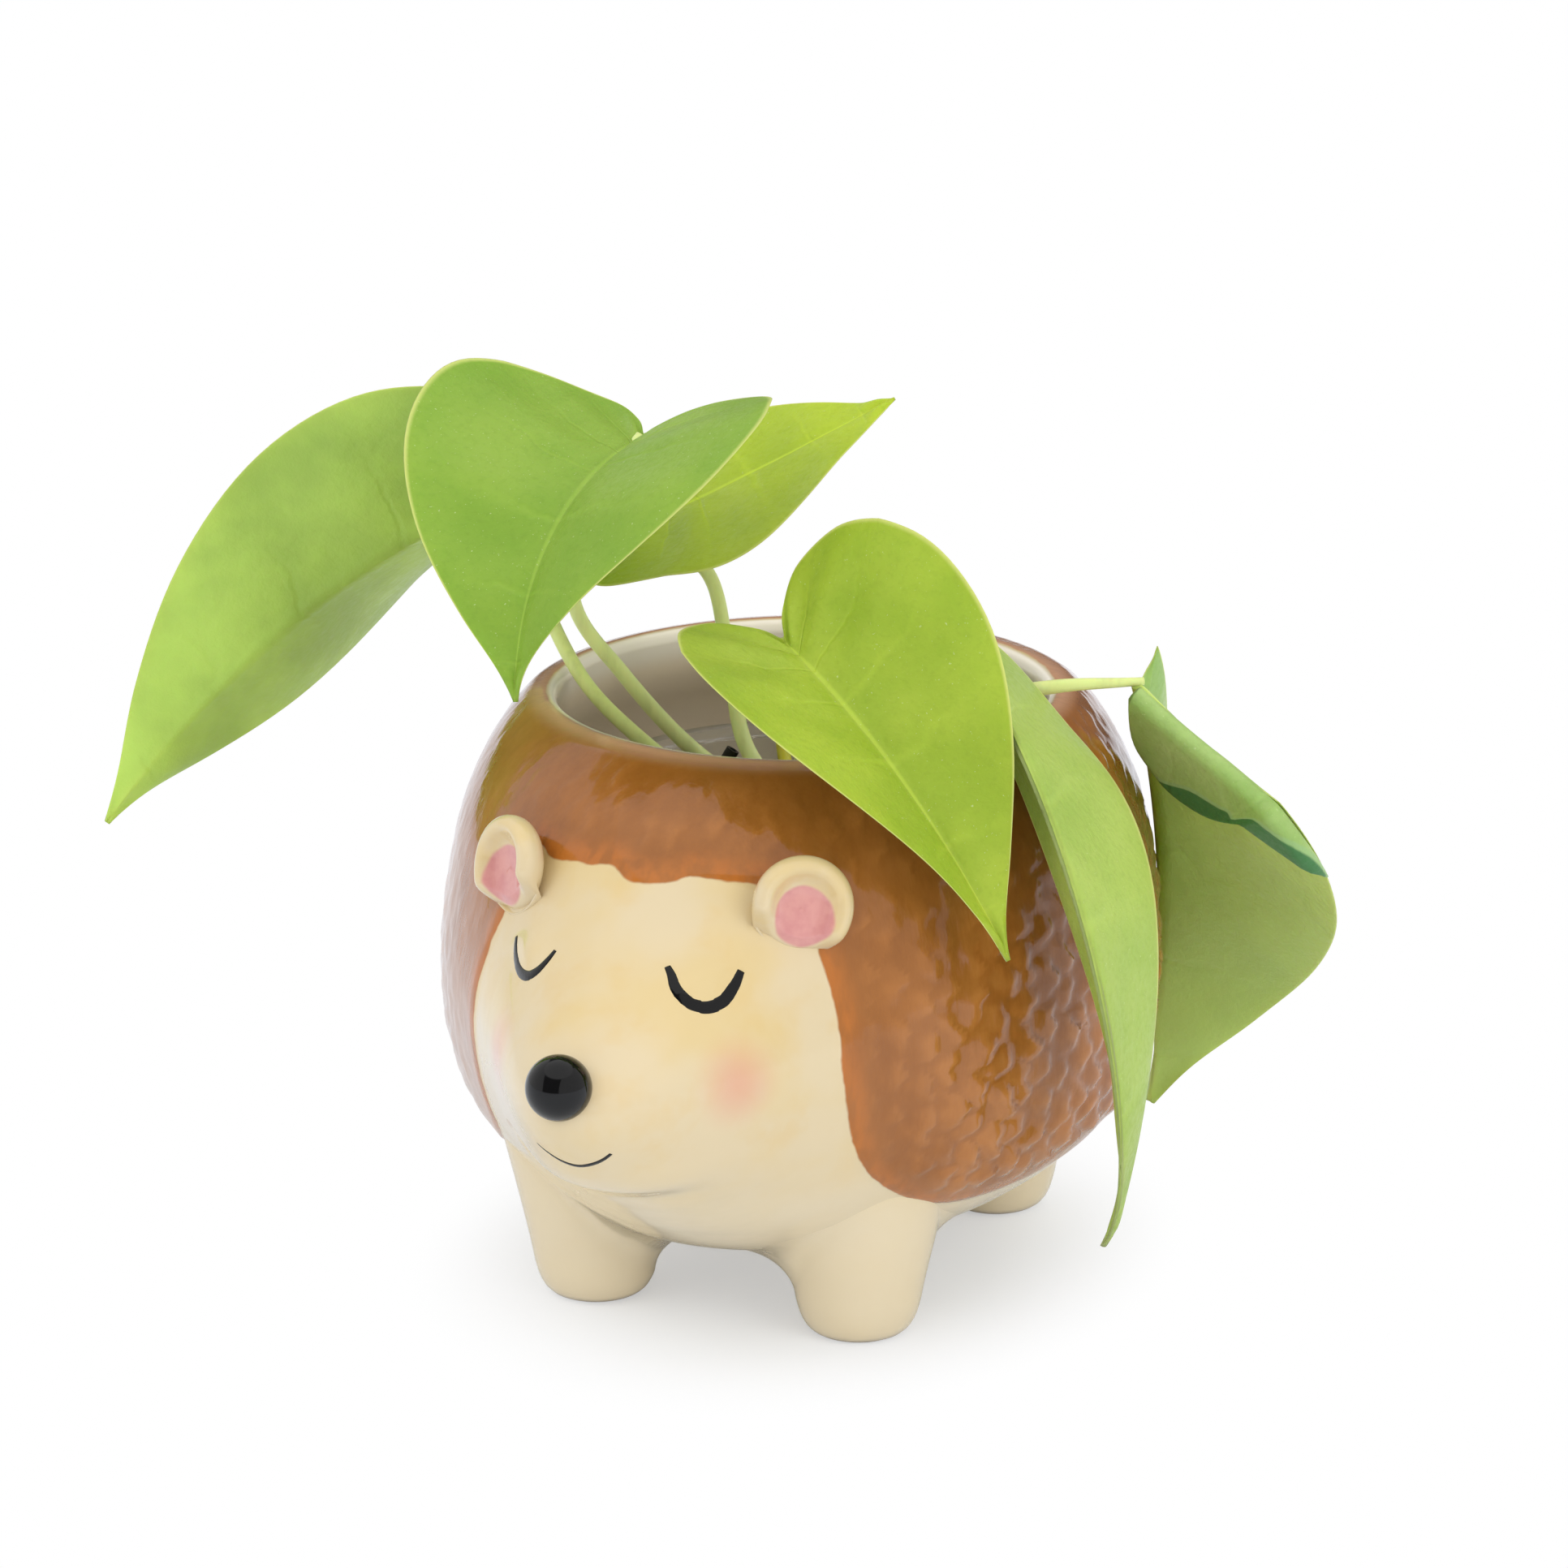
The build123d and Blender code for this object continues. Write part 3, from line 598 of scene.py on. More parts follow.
def body_grid():
    """Rows of points over the whole body, closer together outside than inside, and the distance of
    each row past the crest of the lip."""
    knots = run_along(np.stack([BODY_ROWS[:, 0], BODY_ROWS[:, 1:4].mean(axis=1)], -1))
    places = np.concatenate([
        np.linspace(0.5, knots[BELLY_RIM], 8, endpoint=False),
        np.linspace(knots[BELLY_RIM], knots[SIDE_TOP], 142, endpoint=False),
        np.linspace(knots[SIDE_TOP], knots[LIP_END], 16, endpoint=False),
        np.linspace(knots[LIP_END], knots[-1] - 0.5, 18)])
    rows = through(knots, BODY_ROWS, places)
    grid = body_section(rows[:, None, :], circle(BODY_COLUMNS)[None])
    return grid, np.repeat((places - knots[CREST])[:, None], BODY_COLUMNS, 1)


def grid_normals(grid, row):
    """Unit normals of a grid that closes round, pointing away from the middle of the given row."""
    round_way = np.roll(grid, -1, 1) - np.roll(grid, 1, 1)
    normals = unit(np.cross(round_way, np.gradient(grid, axis=0)))
    away = grid[row] - grid[row].mean(axis=0)
    return normals * np.sign((normals[row] * away).sum())


def turn_from_front(grid):
    """Degrees round the body from the middle of its face, the same on both sides."""
    return np.abs((np.degrees(np.arctan2(grid[..., 1], grid[..., 0])) + 270) % 360 - 180)


def tuft_relief(grid):
    """Moulded tufts swept back along the coat, from 0 to 1: round scales in staggered columns, each
    rising to its free edge and lying over the scale behind it, with places, sizes and strength
    changed a little by sums of waves."""
    pitch, gap, radius, girth = 4.4, 6.6, 4.3, 54.0
    turn = turn_from_front(grid)
    u = np.radians(turn) * girth
    v = grid[..., 2] + 0.16 * u
    u = u + 0.9 * np.sin(v * 0.61 + 0.8 * np.sin(u * 0.13)) + 0.5 * np.sin(v * 1.7 + u * 0.31)
    v = v + 0.9 * np.sin(u * 0.47 + 1.3 * np.sin(v * 0.19))
    relief = np.zeros(u.shape)
    done = np.zeros(u.shape, bool)
    for step in (-1, 0, 1):
        column = np.floor(u / pitch) + step
        shift = 0.5 * gap * (column % 2)
        row = np.round((v - shift) / gap)
        mark = np.sin(column * 12.9898 + row * 78.233) * 43758.5453
        mark = mark - np.floor(mark)
        du = u - column * pitch - 0.9 * (mark - 0.5)
        dv = v - shift - row * gap - 0.8 * (mark - 0.5)
        size = radius * (0.9 + 0.2 * mark)
        away = np.hypot(du, dv * 0.92)
        rise = ease(-0.3 * size, size, du) * ease(size, size * 0.86, away) * (0.65 + 0.35 * mark)
        rise = rise * np.clip(1 - (dv / (0.78 * size)) ** 2, 0, 1)
        here = (away < size) & ~done
        relief = np.where(here, rise, relief)
        done |= here
    patchy = 0.5 + 0.5 * np.sin(turn * 0.075 + 1.1) * np.cos(grid[..., 2] * 0.085 + 0.4)
    low = ease(84, 50, grid[..., 2]) * ease(35, 62, turn)
    calm = 1 - 0.7 * ease(0, -20, grid[..., 0]) * ease(125, 95, turn)
    return relief * calm * np.clip(0.14 + 0.22 * patchy + 0.75 * low, 0, 1)


def coat_distance(grid):
    """Distance in millimetres from the coat's edge over the skin, positive inside the coat."""
    girth = 55.0
    place = np.stack([np.radians(turn_from_front(grid)) * girth, grid[..., 2]], -1)
    edge = evenly(COAT_EDGE, np.linspace(0, 1, 160))
    edge = np.stack([np.radians(edge[:, 0]) * girth, edge[:, 1]], -1)
    best = np.full(place.shape[:-1], 1e9)
    above = np.zeros(place.shape[:-1], bool)
    for a, b in zip(edge[:-1], edge[1:]):
        run = b - a
        t = np.clip(((place - a) @ run) / (run @ run), 0, 1)
        best = np.minimum(best, np.linalg.norm(place - a - t[..., None] * run, axis=-1))
        level = (place[..., 0] >= min(a[0], b[0])) & (place[..., 0] < max(a[0], b[0]))
        share = (place[..., 0] - a[0]) / (run[0] if abs(run[0]) > 1e-9 else 1e-9)
        above ^= level & (place[..., 1] > a[1] + share * run[1])
    return np.where(above, best, -best)


def face_relief(grid):
    """Outward swell in millimetres, as sums of bell curves: eyelids, muzzle pads and a shallow
    crease under the chin."""
    x, y, z = grid[..., 0], grid[..., 1], grid[..., 2]
    lids = sum(0.9 * np.exp(-(((x - cx) / 3.6) ** 2 + ((z - cz) / 2.6) ** 2))
               for cx, cz in ((12.6, 68.6), (-16.4, 68.4)))
    groove = 33.2 + 0.012 * x * x
    chin = -0.4 * bell(z - groove, 2.1) * ease(17, 6, np.abs(x))
    pad = 0.7 * bell(z - groove - 4.6, 3.2) * ease(18, 6, np.abs(x))
    return ease(-20, -40, y) * (lids + chin + pad)


def underside_height(x, y):
    """Height of the lower body over a place on the floor, found by halving."""
    rows = BODY_ROWS[2:9]
    low, high = np.full(x.shape, rows[0, 0]), np.full(x.shape, rows[-1, 0])
    knots = rows[:, 0] + np.arange(len(rows)) * 1e-6
    for _ in range(30):
        middle = (low + high) / 2
        sizes = through(knots, rows[:, 1:], middle)
        wide, front, rear, snout = (sizes[..., column] for column in range(4))
        side = np.sqrt(np.clip(1 - (x / wide) ** 2, 0, None))
        ahead = front * side + snout * bell(x, SNOUT_SPREAD) * np.sqrt(side)
        inside = (np.abs(x) < wide) & (y > -ahead) & (y < rear * side)
        high = np.where(inside, middle, high)
        low = np.where(inside, low, middle)
    return high


def leg_grid(cx, cy, flare):
    """Rows of points up a leg: across the sole, up the rounded shaft, then along a curve that
    leaves the shaft upright and arrives along the body's skin, a ring away from the leg's axis. It
    ends a little below the skin and closes inside the clay. Gives the rows and their shading
    normals, which turn into the body's own towards the end and are zero where the mesh's serve."""
    # In millimetres: height of the curve, how far its end is sunk below the skin, how far the
    # closing rows lie above the skin, and the steps for slopes.
    drop, sunk, cover, near, apart = 8.5, 0.35, 1.4, 0.3, 0.6
    angle = circle(64)
    rows = []

    def skin_height(radius):
        return underside_height(cx + radius * np.cos(angle), cy + radius * np.sin(angle))

    def shaft_radius(height):
        return through(LEG_PROFILE[:, 0], LEG_PROFILE[:, 1], height)

    def add_row(radius, height):
        rows.append(np.stack([cx + radius * np.cos(angle), cy + radius * np.sin(angle),
                              height + 0 * angle], -1))

    end = skin_height(flare)
    slope = (skin_height(flare + apart) - end) / apart
    steep = np.sqrt(1 + slope ** 2)
    end = end + sunk * steep
    leave = end - drop
    for radius in (3.0, 5.6):
        add_row(radius, 0.0)
    for share in np.linspace(0, 1, 16) ** 1.5:
        add_row(shaft_radius(share * leave), share * leave)
    start, reach = shaft_radius(leave), 4.6 / steep
    for t in np.linspace(0, 1, 16)[1:]:
        add_row(bezier(t, start, start + 0.4, flare - reach, flare),
                bezier(t, leave, leave + drop * 0.55, end - reach * slope, end))
    for share in (0.96, 0.7, 0.4, 0.15):
        add_row(flare * share, skin_height(flare * share) + cover)
    grid = np.stack(rows)
    x, y = grid[..., 0], grid[..., 1]
    level = underside_height(x, y)
    body = unit(np.stack([underside_height(x + near, y) - level,
                          underside_height(x, y + near) - level, np.full(x.shape, -near)], -1))
    share = ease(20, 30, np.arange(len(rows)))[:, None, None]
    normals = unit(grid_normals(grid, 8) * (1 - share) + body * share)
    return grid, np.where(share > 0, normals, 0.0)


def ear_grid(centre, side, radius, thick):
    """Rows of points over a thick round ear, from the middle of its back, round its rolled rim and
    into its dish. The side is 1 for the animal's left and -1 for its right. The rim stands up over
    the top and the outer side. It dies away at the bottom, turned towards the middle of the head,
    where the dish runs out and dives into the head. Gives the rows and how far each point is from
    the middle of the painted patch."""
    angle = circle(72)
    path = ((0.02, -0.50), (0.30, -0.50), (0.58, -0.46), (0.82, -0.34), (0.96, -0.12),
            (1.00, 0.10), (0.98, 0.30), (0.90, 0.45), (0.79, 0.50), (0.68, 0.42),
            (0.58, 0.26), (0.46, 0.12), (0.28, 0.05), (0.02, 0.03))
    at = np.linspace(0, len(path) - 1, 52)
    out, deep = through(np.arange(len(path)), path, at).T[..., None]
    foot = ease(-0.25, -0.95, np.sin(angle + math.radians(EAR_OPENING * side)))[None]
    ahead = ease(3.6, 5.0, at)[:, None]
    run_out = np.interp(out, (0.0, 0.60, 0.80, 1.0), (0.05, 0.05, -0.13, -0.60))
    deep = deep + (run_out - deep) * foot * ahead
    tall = radius * out * np.sin(angle) * (1.02 - 0.05 * foot)
    wide = radius * out * np.cos(angle) * (1.0 + 0.04 * np.sin(angle))
    turn = math.radians(EAR_TURN * side)
    look = heading_vector(turn, math.radians(EAR_LEAN))
    right = np.array((math.cos(turn), math.sin(turn), 0.0))
    up = np.cross(look, right)
    patch = np.hypot(wide, (tall + 0.17 * radius) * 0.98) + np.where(ahead < 0.5, 20.0, 0.0)
    return (centre + wide[..., None] * right + tall[..., None] * up
            + (thick * deep)[..., None] * look), patch


def ball_grid(centre, radius):
    """Rows of points round a ball, from its lowest point to its highest: a half circle turned about
    the upright line through its middle."""
    tilt, angle = np.radians(np.linspace(-88, 88, 48))[:, None], circle(96)
    return centre + radius * np.stack([np.cos(tilt) * np.cos(angle), np.cos(tilt) * np.sin(angle),
                                       np.sin(tilt) + 0 * angle], -1)


def tube_grid(points, radii, around=18, samples=90):
    """Rows of points round a smooth path: a circle in the plane across the path, whose size follows
    the given radii along it."""
    path, share = smooth_path(points, samples)
    ahead = unit(np.gradient(path, axis=0))
    side = unit(np.cross(ahead, np.array((0.31, 0.17, 0.93))))
    over = np.cross(side, ahead)
    ring = turned(side[:, None], over[:, None], circle(around)[None, :, None])
    rows = path[:, None] + ring * evenly(radii, share)[:, None, None]
    return rows, np.repeat(share[:, None], around, 1)


def leaf_bend(leaf, along, out, side):
    """Place and upward normal of a point of a blade, given its distance along and out from the
    midrib: the midrib is an arc in an upright plane, each half leaves it at its fold angle and
    curls on evenly, the whole is twisted along and rolled about the midrib."""
    length, wide, _ = leaf["size"]
    half = 0 if side > 0 else 1
    heading, roll = math.radians(leaf["heading"]), math.radians(leaf["roll"])
    first, last = np.radians(leaf["pitch"])
    bend = (last - first) / length
    pitch = first + bend * np.clip(along, 0, None)
    behind = np.clip(along, None, 0)
    level = (np.sin(pitch) - math.sin(first)) / bend + behind * math.cos(first)
    rise = (math.cos(first) - np.cos(pitch)) / bend + behind * math.sin(first)
    forward = np.array((math.cos(heading), math.sin(heading), 0.0))
    up = np.array((0.0, 0.0, 1.0))
    left = np.cross(up, forward)
    normal = turned(up, -forward, pitch[..., None])
    twist = np.radians(leaf["twist"] * np.clip(along / length, 0, None))[..., None]
    across, normal = turned(left, normal, twist), turned(normal, -left, twist)
    fold = math.radians(leaf["fold"][half])
    curl = math.radians(leaf["curl"][half]) / wide
    angle = (fold + curl * out)[..., None]
    sweep = (np.sin(angle) - math.sin(fold)) / curl
    climb = (math.cos(fold) - np.cos(angle)) / curl
    spot = (forward * level[..., None] + up * rise[..., None] + across * side * sweep
            + normal * climb)
    face = turned(normal, -across * side, angle)
    start = turned(forward, up, first)

    def rolled(vector):
        return (vector * math.cos(roll) + np.cross(start, vector) * math.sin(roll)
                + start * (vector @ start)[..., None] * (1 - math.cos(roll)))

    return rolled(spot) + np.array(leaf["base"]), rolled(face)


def leaf_margin(leaf, t):
    """Where on the midrib the line to each margin point starts, and how far along and out it ends,
    as shares of the blade's length and half width."""
    along, out = evenly(MARGIN, t).T
    return evenly(MIDRIB, t), np.where(along < 0, along * leaf["size"][2], along), out


def softened(vectors, reach):
    """Directions along a line, each the mean of its neighbours up to reach places away."""
    padded = np.pad(vectors, ((reach, reach), (0, 0)), mode="edge")
    return unit(np.stack([padded[i:i + len(vectors)] for i in range(2 * reach + 1)]).mean(axis=0))


def leaf_flap(leaf):
    """Rows of points round a lobe rolled over a blade's underside, along its right margin from the
    base to about its middle: out of the margin, round a cylinder, then straight back over the
    underside, as wide as the lobe is at that place. Gives the rows, their distances from the
    lobe's free edge and their shares along the crease."""
    radius, turn, columns = 1.5, math.radians(168), 22
    length, wide, _ = leaf["size"]
    crease = np.linspace(0, 1, 44)
    root, along, out = leaf_margin(leaf, 0.03 + 0.49 * crease)
    out = out * wide * leaf["sides"][1]
    spot, face = leaf_bend(leaf, along * length, out, -1)
    outward = unit(np.cross(unit(np.gradient(spot, axis=0)), face))
    inner, _ = leaf_bend(leaf, root * length, out * 0.4, -1)
    outward = outward * np.sign(np.einsum("ij,ij->i", spot - inner, outward))[:, None]
    outward, face = softened(outward, 24), softened(face, 12)
    outward = unit(outward - face * np.einsum("ij,ij->i", outward, face)[:, None])
    width = through((0, 0.08, 0.25, 0.45, 0.65, 0.85, 1.0), (4.0, 11.0, 16.2, 17.4, 14.6, 8.6, 0.8),
                    crease)
    share = np.linspace(0, 1, columns)
    step = np.concatenate([share, share[::-1]])
    lift = np.repeat((BLADE_THICKNESS / 2, -BLADE_THICKNESS / 2), columns)
    lift = lift * np.sqrt(np.clip(1 - step ** 8, 0.04, 1))
    past = width[:, None] * step
    bent = np.clip(past / radius, 0, turn)[..., None]
    straight = np.clip(past - radius * turn, 0, None)[..., None]
    outward, face = outward[:, None], face[:, None]
    path = (spot[:, None] - outward * 0.5
            + outward * (radius * np.sin(bent) + straight * math.cos(turn))
            - face * (radius * (1 - np.cos(bent)) + straight * math.sin(turn)))
    path = path + turned(face, outward, bent) * lift[:, None]
    return path, width[:, None] - past, crease[:, None]


def leaf_surface(leaf):
    """Skin of a blade in rows from its base to its tip: over the upper face from the left margin to
    the right one and back under it. Each row fans out from the midrib to the margin, and the blade
    thins towards its margin, sinks along the midrib above and swells below. Gives the skin and its
    values per point."""
    # Heights in millimetres: ripple of the margin, quilting, groove over and rib under the midrib.
    ripple, quilt, groove, rib = 0.55, 0.35, 0.35, 0.55
    length, wide, lobe = leaf["size"]
    t = np.linspace(0, 1, 74)[1:-1]
    root, edge, edge_out = leaf_margin(leaf, t)
    narrow = 1 - leaf["taper"] * np.clip((t - 0.45) / 0.55, 0, 1) ** 1.5
    edge_out = np.clip(edge_out, 0, None) * narrow
    share = np.sin(np.linspace(0, 1, 17) * math.pi / 2) ** 1.15
    upper = np.concatenate([share[::-1], -share[1:]])
    across = np.concatenate([upper, -upper[1:-1]])
    under = np.arange(len(across)) >= len(upper)
    grid = np.empty((len(t), len(across), 3))
    for side in (1, -1):
        pick = (across * side > 0) | ((across == 0) & (side > 0))
        part = np.abs(across[pick])[None]
        along = (root[:, None] + (edge - root)[:, None] * part) * length
        out = edge_out[:, None] * part * wide * leaf["sides"][0 if side > 0 else 1]
        spot, face = leaf_bend(leaf, along, out, side)
        wave = ripple * np.sin(t[:, None] * 17 + leaf["heading"]) * part ** 3
        wave = wave + quilt * np.cos(t[:, None] * 2 * math.pi * 6.5) * part * (1 - part) * 4
        half_thick = BLADE_THICKNESS / 2 * (1 - 0.75 * part ** 6)
        sunk = groove * bell(out, 0.9) * ease(0.0, 0.03, t)[:, None]
        swell = rib * bell(out, 0.7) * ease(1.0, 0.5, t)[:, None]
        lift = wave + np.where(under[pick], -half_thick - swell, half_thick - sunk)
        grid[:, pick] = spot + face * lift[..., None]
    flat = np.zeros(grid.shape[:2])
    values = {"along": spread(flat + t[:, None]), "across": spread(flat + across),
              "under": spread(flat + under), "stripe": spread(flat + NO_COAT)}
    parts = [skin(grid)]
    if lobe < 0:
        flap, rim, crease = leaf_flap(leaf)
        parts.append(skin(flap))
        band = 6.2 * ease(0.2, 0.45, crease) * ease(1.05, 0.85, crease) - rim
        band = band - 2.4 * bell(crease - 0.66, 0.04)
        for key, row in (("along", crease * 0.4 + 0 * rim), ("across", 0.5 + 0 * rim),
                         ("under", 0 * rim), ("stripe", band)):
            values[key] = np.concatenate([values[key], spread(row)])
    return joined(parts), values


def stroke_grid(points, widths, lift, tree):
    """Painted line on the head: a low rounded ribbon along a smooth path drawn onto the skin, as
    wide as the given widths along it."""
    path, share = smooth_path(points, 70)
    hits = [tree.find_nearest(Vector(point * MM)) for point in path]
    path = np.array([hit[0] for hit in hits]) / MM
    up = unit(np.array([hit[1] for hit in hits]))
    side = unit(np.cross(unit(np.gradient(path, axis=0)), up))
    width = evenly(widths, share)[:, None]
    angle = circle(12)[None]
    return (path[:, None] + side[:, None] * (np.cos(angle) * width / 2)[..., None]
            + up[:, None] * (np.sin(angle) * lift * np.minimum(1, width))[..., None])


def mix_grid(low, high):
    """Rows of points round the root ball between its lowest and highest corner: a tapering plug
    with rounded edges, whose top sinks a little and is roughened by products of waves."""
    top, bottom, wide = high[2], low[2], high[0]
    foot, sink, crumb_height = 22.6, 0.55, 0.35
    path = np.array(((1, bottom), (foot - 1.5, bottom), (foot, bottom + 1.5),
                     (wide - 0.2, top - 1.6), (wide - 1.5, top), (1, top)))
    knots = run_along(path)
    at = np.linspace(0, knots[-1], 120)[:, None]
    angle = circle(160)
    radius = np.interp(at, knots, path[:, 0])
    x, y = radius * np.cos(angle), radius * np.sin(angle)
    crumbs = (np.sin(x * 1.9 + 2 * np.sin(y * 1.3)) * np.sin(y * 2.1 + 1.7 * np.sin(x * 1.1))
              + 0.6 * np.sin(x * 4.1 + y * 1.7) * np.sin(y * 3.7 - x * 2.3))
    crumbs = np.where(at > knots[3], crumb_height * crumbs - sink, 0)
    z = np.interp(at, knots, path[:, 1]) + crumbs
    return np.stack([x, y, z], -1)


# Sizes and colours that a user can change

def tint(name, default, description):
    return bpy.props.FloatVectorProperty(name=name, description=description, default=default,
                                         subtype="COLOR", min=0, max=1, size=3)


def length(name, default, description):
    return bpy.props.FloatProperty(name=name, description=description, default=default,
                                   unit="LENGTH")


def watts(name, default, description):
    return bpy.props.FloatProperty(name=name, description=description, default=default, min=0,
                                   unit="POWER")


class PotSettings(bpy.types.PropertyGroup):
    coat_step: length("Coat step", 0.00045, "Height of the brown coat's edge above the cream clay")
    tuft_height: length("Tuft height", 0.0012, "Height of the tufts moulded into the brown coat")
    leg_flare: length("Leg flare", 0.0195, "Radius at which each leg runs into the belly")
    ear_radius: length("Ear radius", 0.0078, "Outer radius of each ear")
    ear_thickness: length("Ear thickness", 0.0056, "Thickness of each ear")
    nose_radius: length("Nose radius", 0.0050, "Radius of the ball of the nose")
    cream: tint("Cream", (0.875, 0.80, 0.65), "Colour of the cream glaze")
    cream_low: tint("Pale cream", (0.92, 0.86, 0.735), "Colour of the cream glaze on the legs")
    yellow: tint("Yellow clouds", (0.875, 0.78, 0.57), "Colour of the yellow clouds in the cream")
    yellow_deep: tint("Yellow veins", (0.87, 0.74, 0.48), "Colour of the deepest yellow")
    brown: tint("Brown", (0.70, 0.44, 0.19), "Main brown of the coat")
    # Also painted shade between the tufts.
    brown_dark_and_shade: tint("Dark brown", (0.57, 0.34, 0.12), "Brown between the tufts")
    # Also painted highlight on the tuft crests.
    brown_pale_and_highlight: tint("Pale brown", (0.76, 0.50, 0.26), "Brown where the glaze is thin")
    orange: tint("Orange edge", (0.76, 0.44, 0.15), "Orange where the coat's edge runs thin")
    pink: tint("Ear pink", (0.87, 0.62, 0.59), "Pink in the dish of each ear")
    pink_deep: tint("Deep ear pink", (0.83, 0.56, 0.55), "Deeper pink in the ears")
    blush: tint("Blush", (0.88, 0.60, 0.50), "Colour of the cheeks")
    blush_strength: bpy.props.FloatProperty(
        name="Blush strength", description="How strongly the cheeks are coloured", default=0.62,
        min=0, max=1, subtype="FACTOR")
    crest: tint("Crest", (0.86, 0.66, 0.52), "Pinkish brown where the coat thins over the lip")
    # Painted light: the lip's whiter lit band and the inner wall, both lighter than the outer
    # cream.
    lip: tint("Lip", (0.99, 0.95, 0.89), "Colour of the inside of the lip")
    inner_wall_painted_light: tint("Inner wall", (0.99, 0.92, 0.82), "Colour of the inner wall")
    bare_clay: tint("Bare clay", (0.80, 0.74, 0.64), "Colour of the unglazed soles")
    ink: tint("Ink", (0.035, 0.033, 0.035), "Colour of the nose and the painted lines")


class PlantSettings(bpy.types.PropertyGroup):
    stem_radius: length("Stem radius", 0.00128, "Radius of a leaf stem")
    stem_green: tint("Stem green", (0.88, 0.93, 0.59), "Colour of a stem near its leaf")
    stem_pale: tint("Stem base", (0.91, 0.94, 0.70), "Colour of a stem near its root")
    stem_yellow: tint("Yellowed stem", (0.84, 0.80, 0.25), "Colour of the old stem")


class StageSettings(bpy.types.PropertyGroup):
    key_power: watts("Key light", 3.9, "Power of the large soft light")
    fill_power: watts("Fill light", 5.4, "Power of the light from the other side")
    world_strength: bpy.props.FloatProperty(
        name="Surroundings", description="Brightness of the white surroundings on the object",
        default=0.93, min=0, max=2, subtype="FACTOR")


# Operators

class PLANTER_OT_pot(bpy.types.Operator):
    """Make the hollow pot with its snout, lip, coat and four legs"""
    bl_idname = "planter.pot"
    bl_label = "Pot"

    def execute(self, context):
        settings = context.scene.planter_pot
        grid, past = body_grid()
        coat = np.where(past < 4, coat_distance(grid), FULL_COAT)
        raised = settings.coat_step / MM * ease(-0.6, 1.2, coat) * ease(-1.0, -4.0, past)
        tufts = tuft_relief(grid) * ease(1.0, 7.0, coat) * ease(-2.0, -9.0, past)
        swell = raised + settings.tuft_height / MM * tufts + face_relief(grid)
        grid = grid + grid_normals(grid, 60) * (swell * ease(1.0, -1.0, past))[..., None]
        parts = [skin(grid)]
        shading = [np.zeros(parts[0][0].shape)]
        values = {"coat": [spread(coat)], "inside": [spread(past)], "tuft": [spread(tufts)]}
        for cx, cy in LEG_PLACES:
            leg, normals = leg_grid(cx, cy, settings.leg_flare / MM)
            parts.append(skin(leg))
            shading.append(np.concatenate([normals.reshape(-1, 3), np.zeros((2, 3))]))
            for key, level in (("coat", NO_COAT), ("inside", FAR_FROM_LIP), ("tuft", 0.0)):
                values[key].append(np.full(len(shading[-1]), level))
        add_piece("pot_body", joined(parts), glazed_coat(settings), "pot",
                  ["pot_shell"], {key: np.concatenate(rows) for key, rows in values.items()},
                  np.concatenate(shading))
        return {"FINISHED"}


class PLANTER_OT_ears(bpy.types.Operator):
    """Make both ears with their rolled rims and pink dishes"""
    bl_idname = "planter.ears"
    bl_label = "Ears"

    def execute(self, context):
        settings = context.scene.planter_pot
        for name, side in (("left_ear", 1), ("right_ear", -1)):
            centre = box_corners(name).mean(axis=0) + np.array(EAR_SHIFT[name])
            grid, patch = ear_grid(centre, side, settings.ear_radius / MM,
                                   settings.ear_thickness / MM)
            add_piece(name + "_glazed", skin(grid), glazed_ear(settings), "pot",
                      [name], {"patch": spread(patch)})
        return {"FINISHED"}


class PLANTER_OT_face(bpy.types.Operator):
    """Paint the closed eyes and the smile, and glaze the nose"""
    bl_idname = "planter.face"
    bl_label = "Face"

    def execute(self, context):
        settings = context.scene.planter_pot
        pot = bpy.data.objects["pot_body"].data
        tree = BVHTree.FromPolygons([vertex.co for vertex in pot.vertices],
                                    [tuple(face.vertices) for face in pot.polygons])
        ink = gloss_black("black paint under glaze", settings.ink)
        for name, points, widths in (("eye_left", EYE_LEFT, (1.0, 1.7, 2.0, 2.1, 1.9, 1.2)),
                                     ("eye_right", EYE_RIGHT, (0.9, 1.5, 1.7, 1.7, 1.4, 0.8)),
                                     ("smile", SMILE, (0.3, 0.6, 0.8, 0.8, 0.75, 0.6))):
            add_piece(name + "_line", skin(stroke_grid(points, widths, 0.12, tree)), ink, "pot")
        centre = box_corners("nose").mean(axis=0) + np.array(NOSE_SHIFT)
        add_piece("nose_glazed", skin(ball_grid(centre, settings.nose_radius / MM)),
                  gloss_black("black nose glaze", settings.ink), "pot", ["nose"])
        return {"FINISHED"}


class PLANTER_OT_liner(bpy.types.Operator):
    """Give the liner cup and the stake their plastics"""
    bl_idname = "planter.liner"
    bl_label = "Liner cup and stake"

    def execute(self, context):
        for name, material in (("liner_cup", clear_plastic()), ("support_stake", dull_black())):
            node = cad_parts[name]
            node.data.materials.clear()
            node.data.materials.append(material)
        return {"FINISHED"}


class PLANTER_OT_mix(bpy.types.Operator):
    """Make the root ball with its crumbly top"""
    bl_idname = "planter.mix"
    bl_label = "Potting mix"

    def execute(self, context):
        surface = skin(mix_grid(*box_corners("potting_mix")))
        add_piece("root_ball", surface, peat(), "plant", ["potting_mix"])
        return {"FINISHED"}


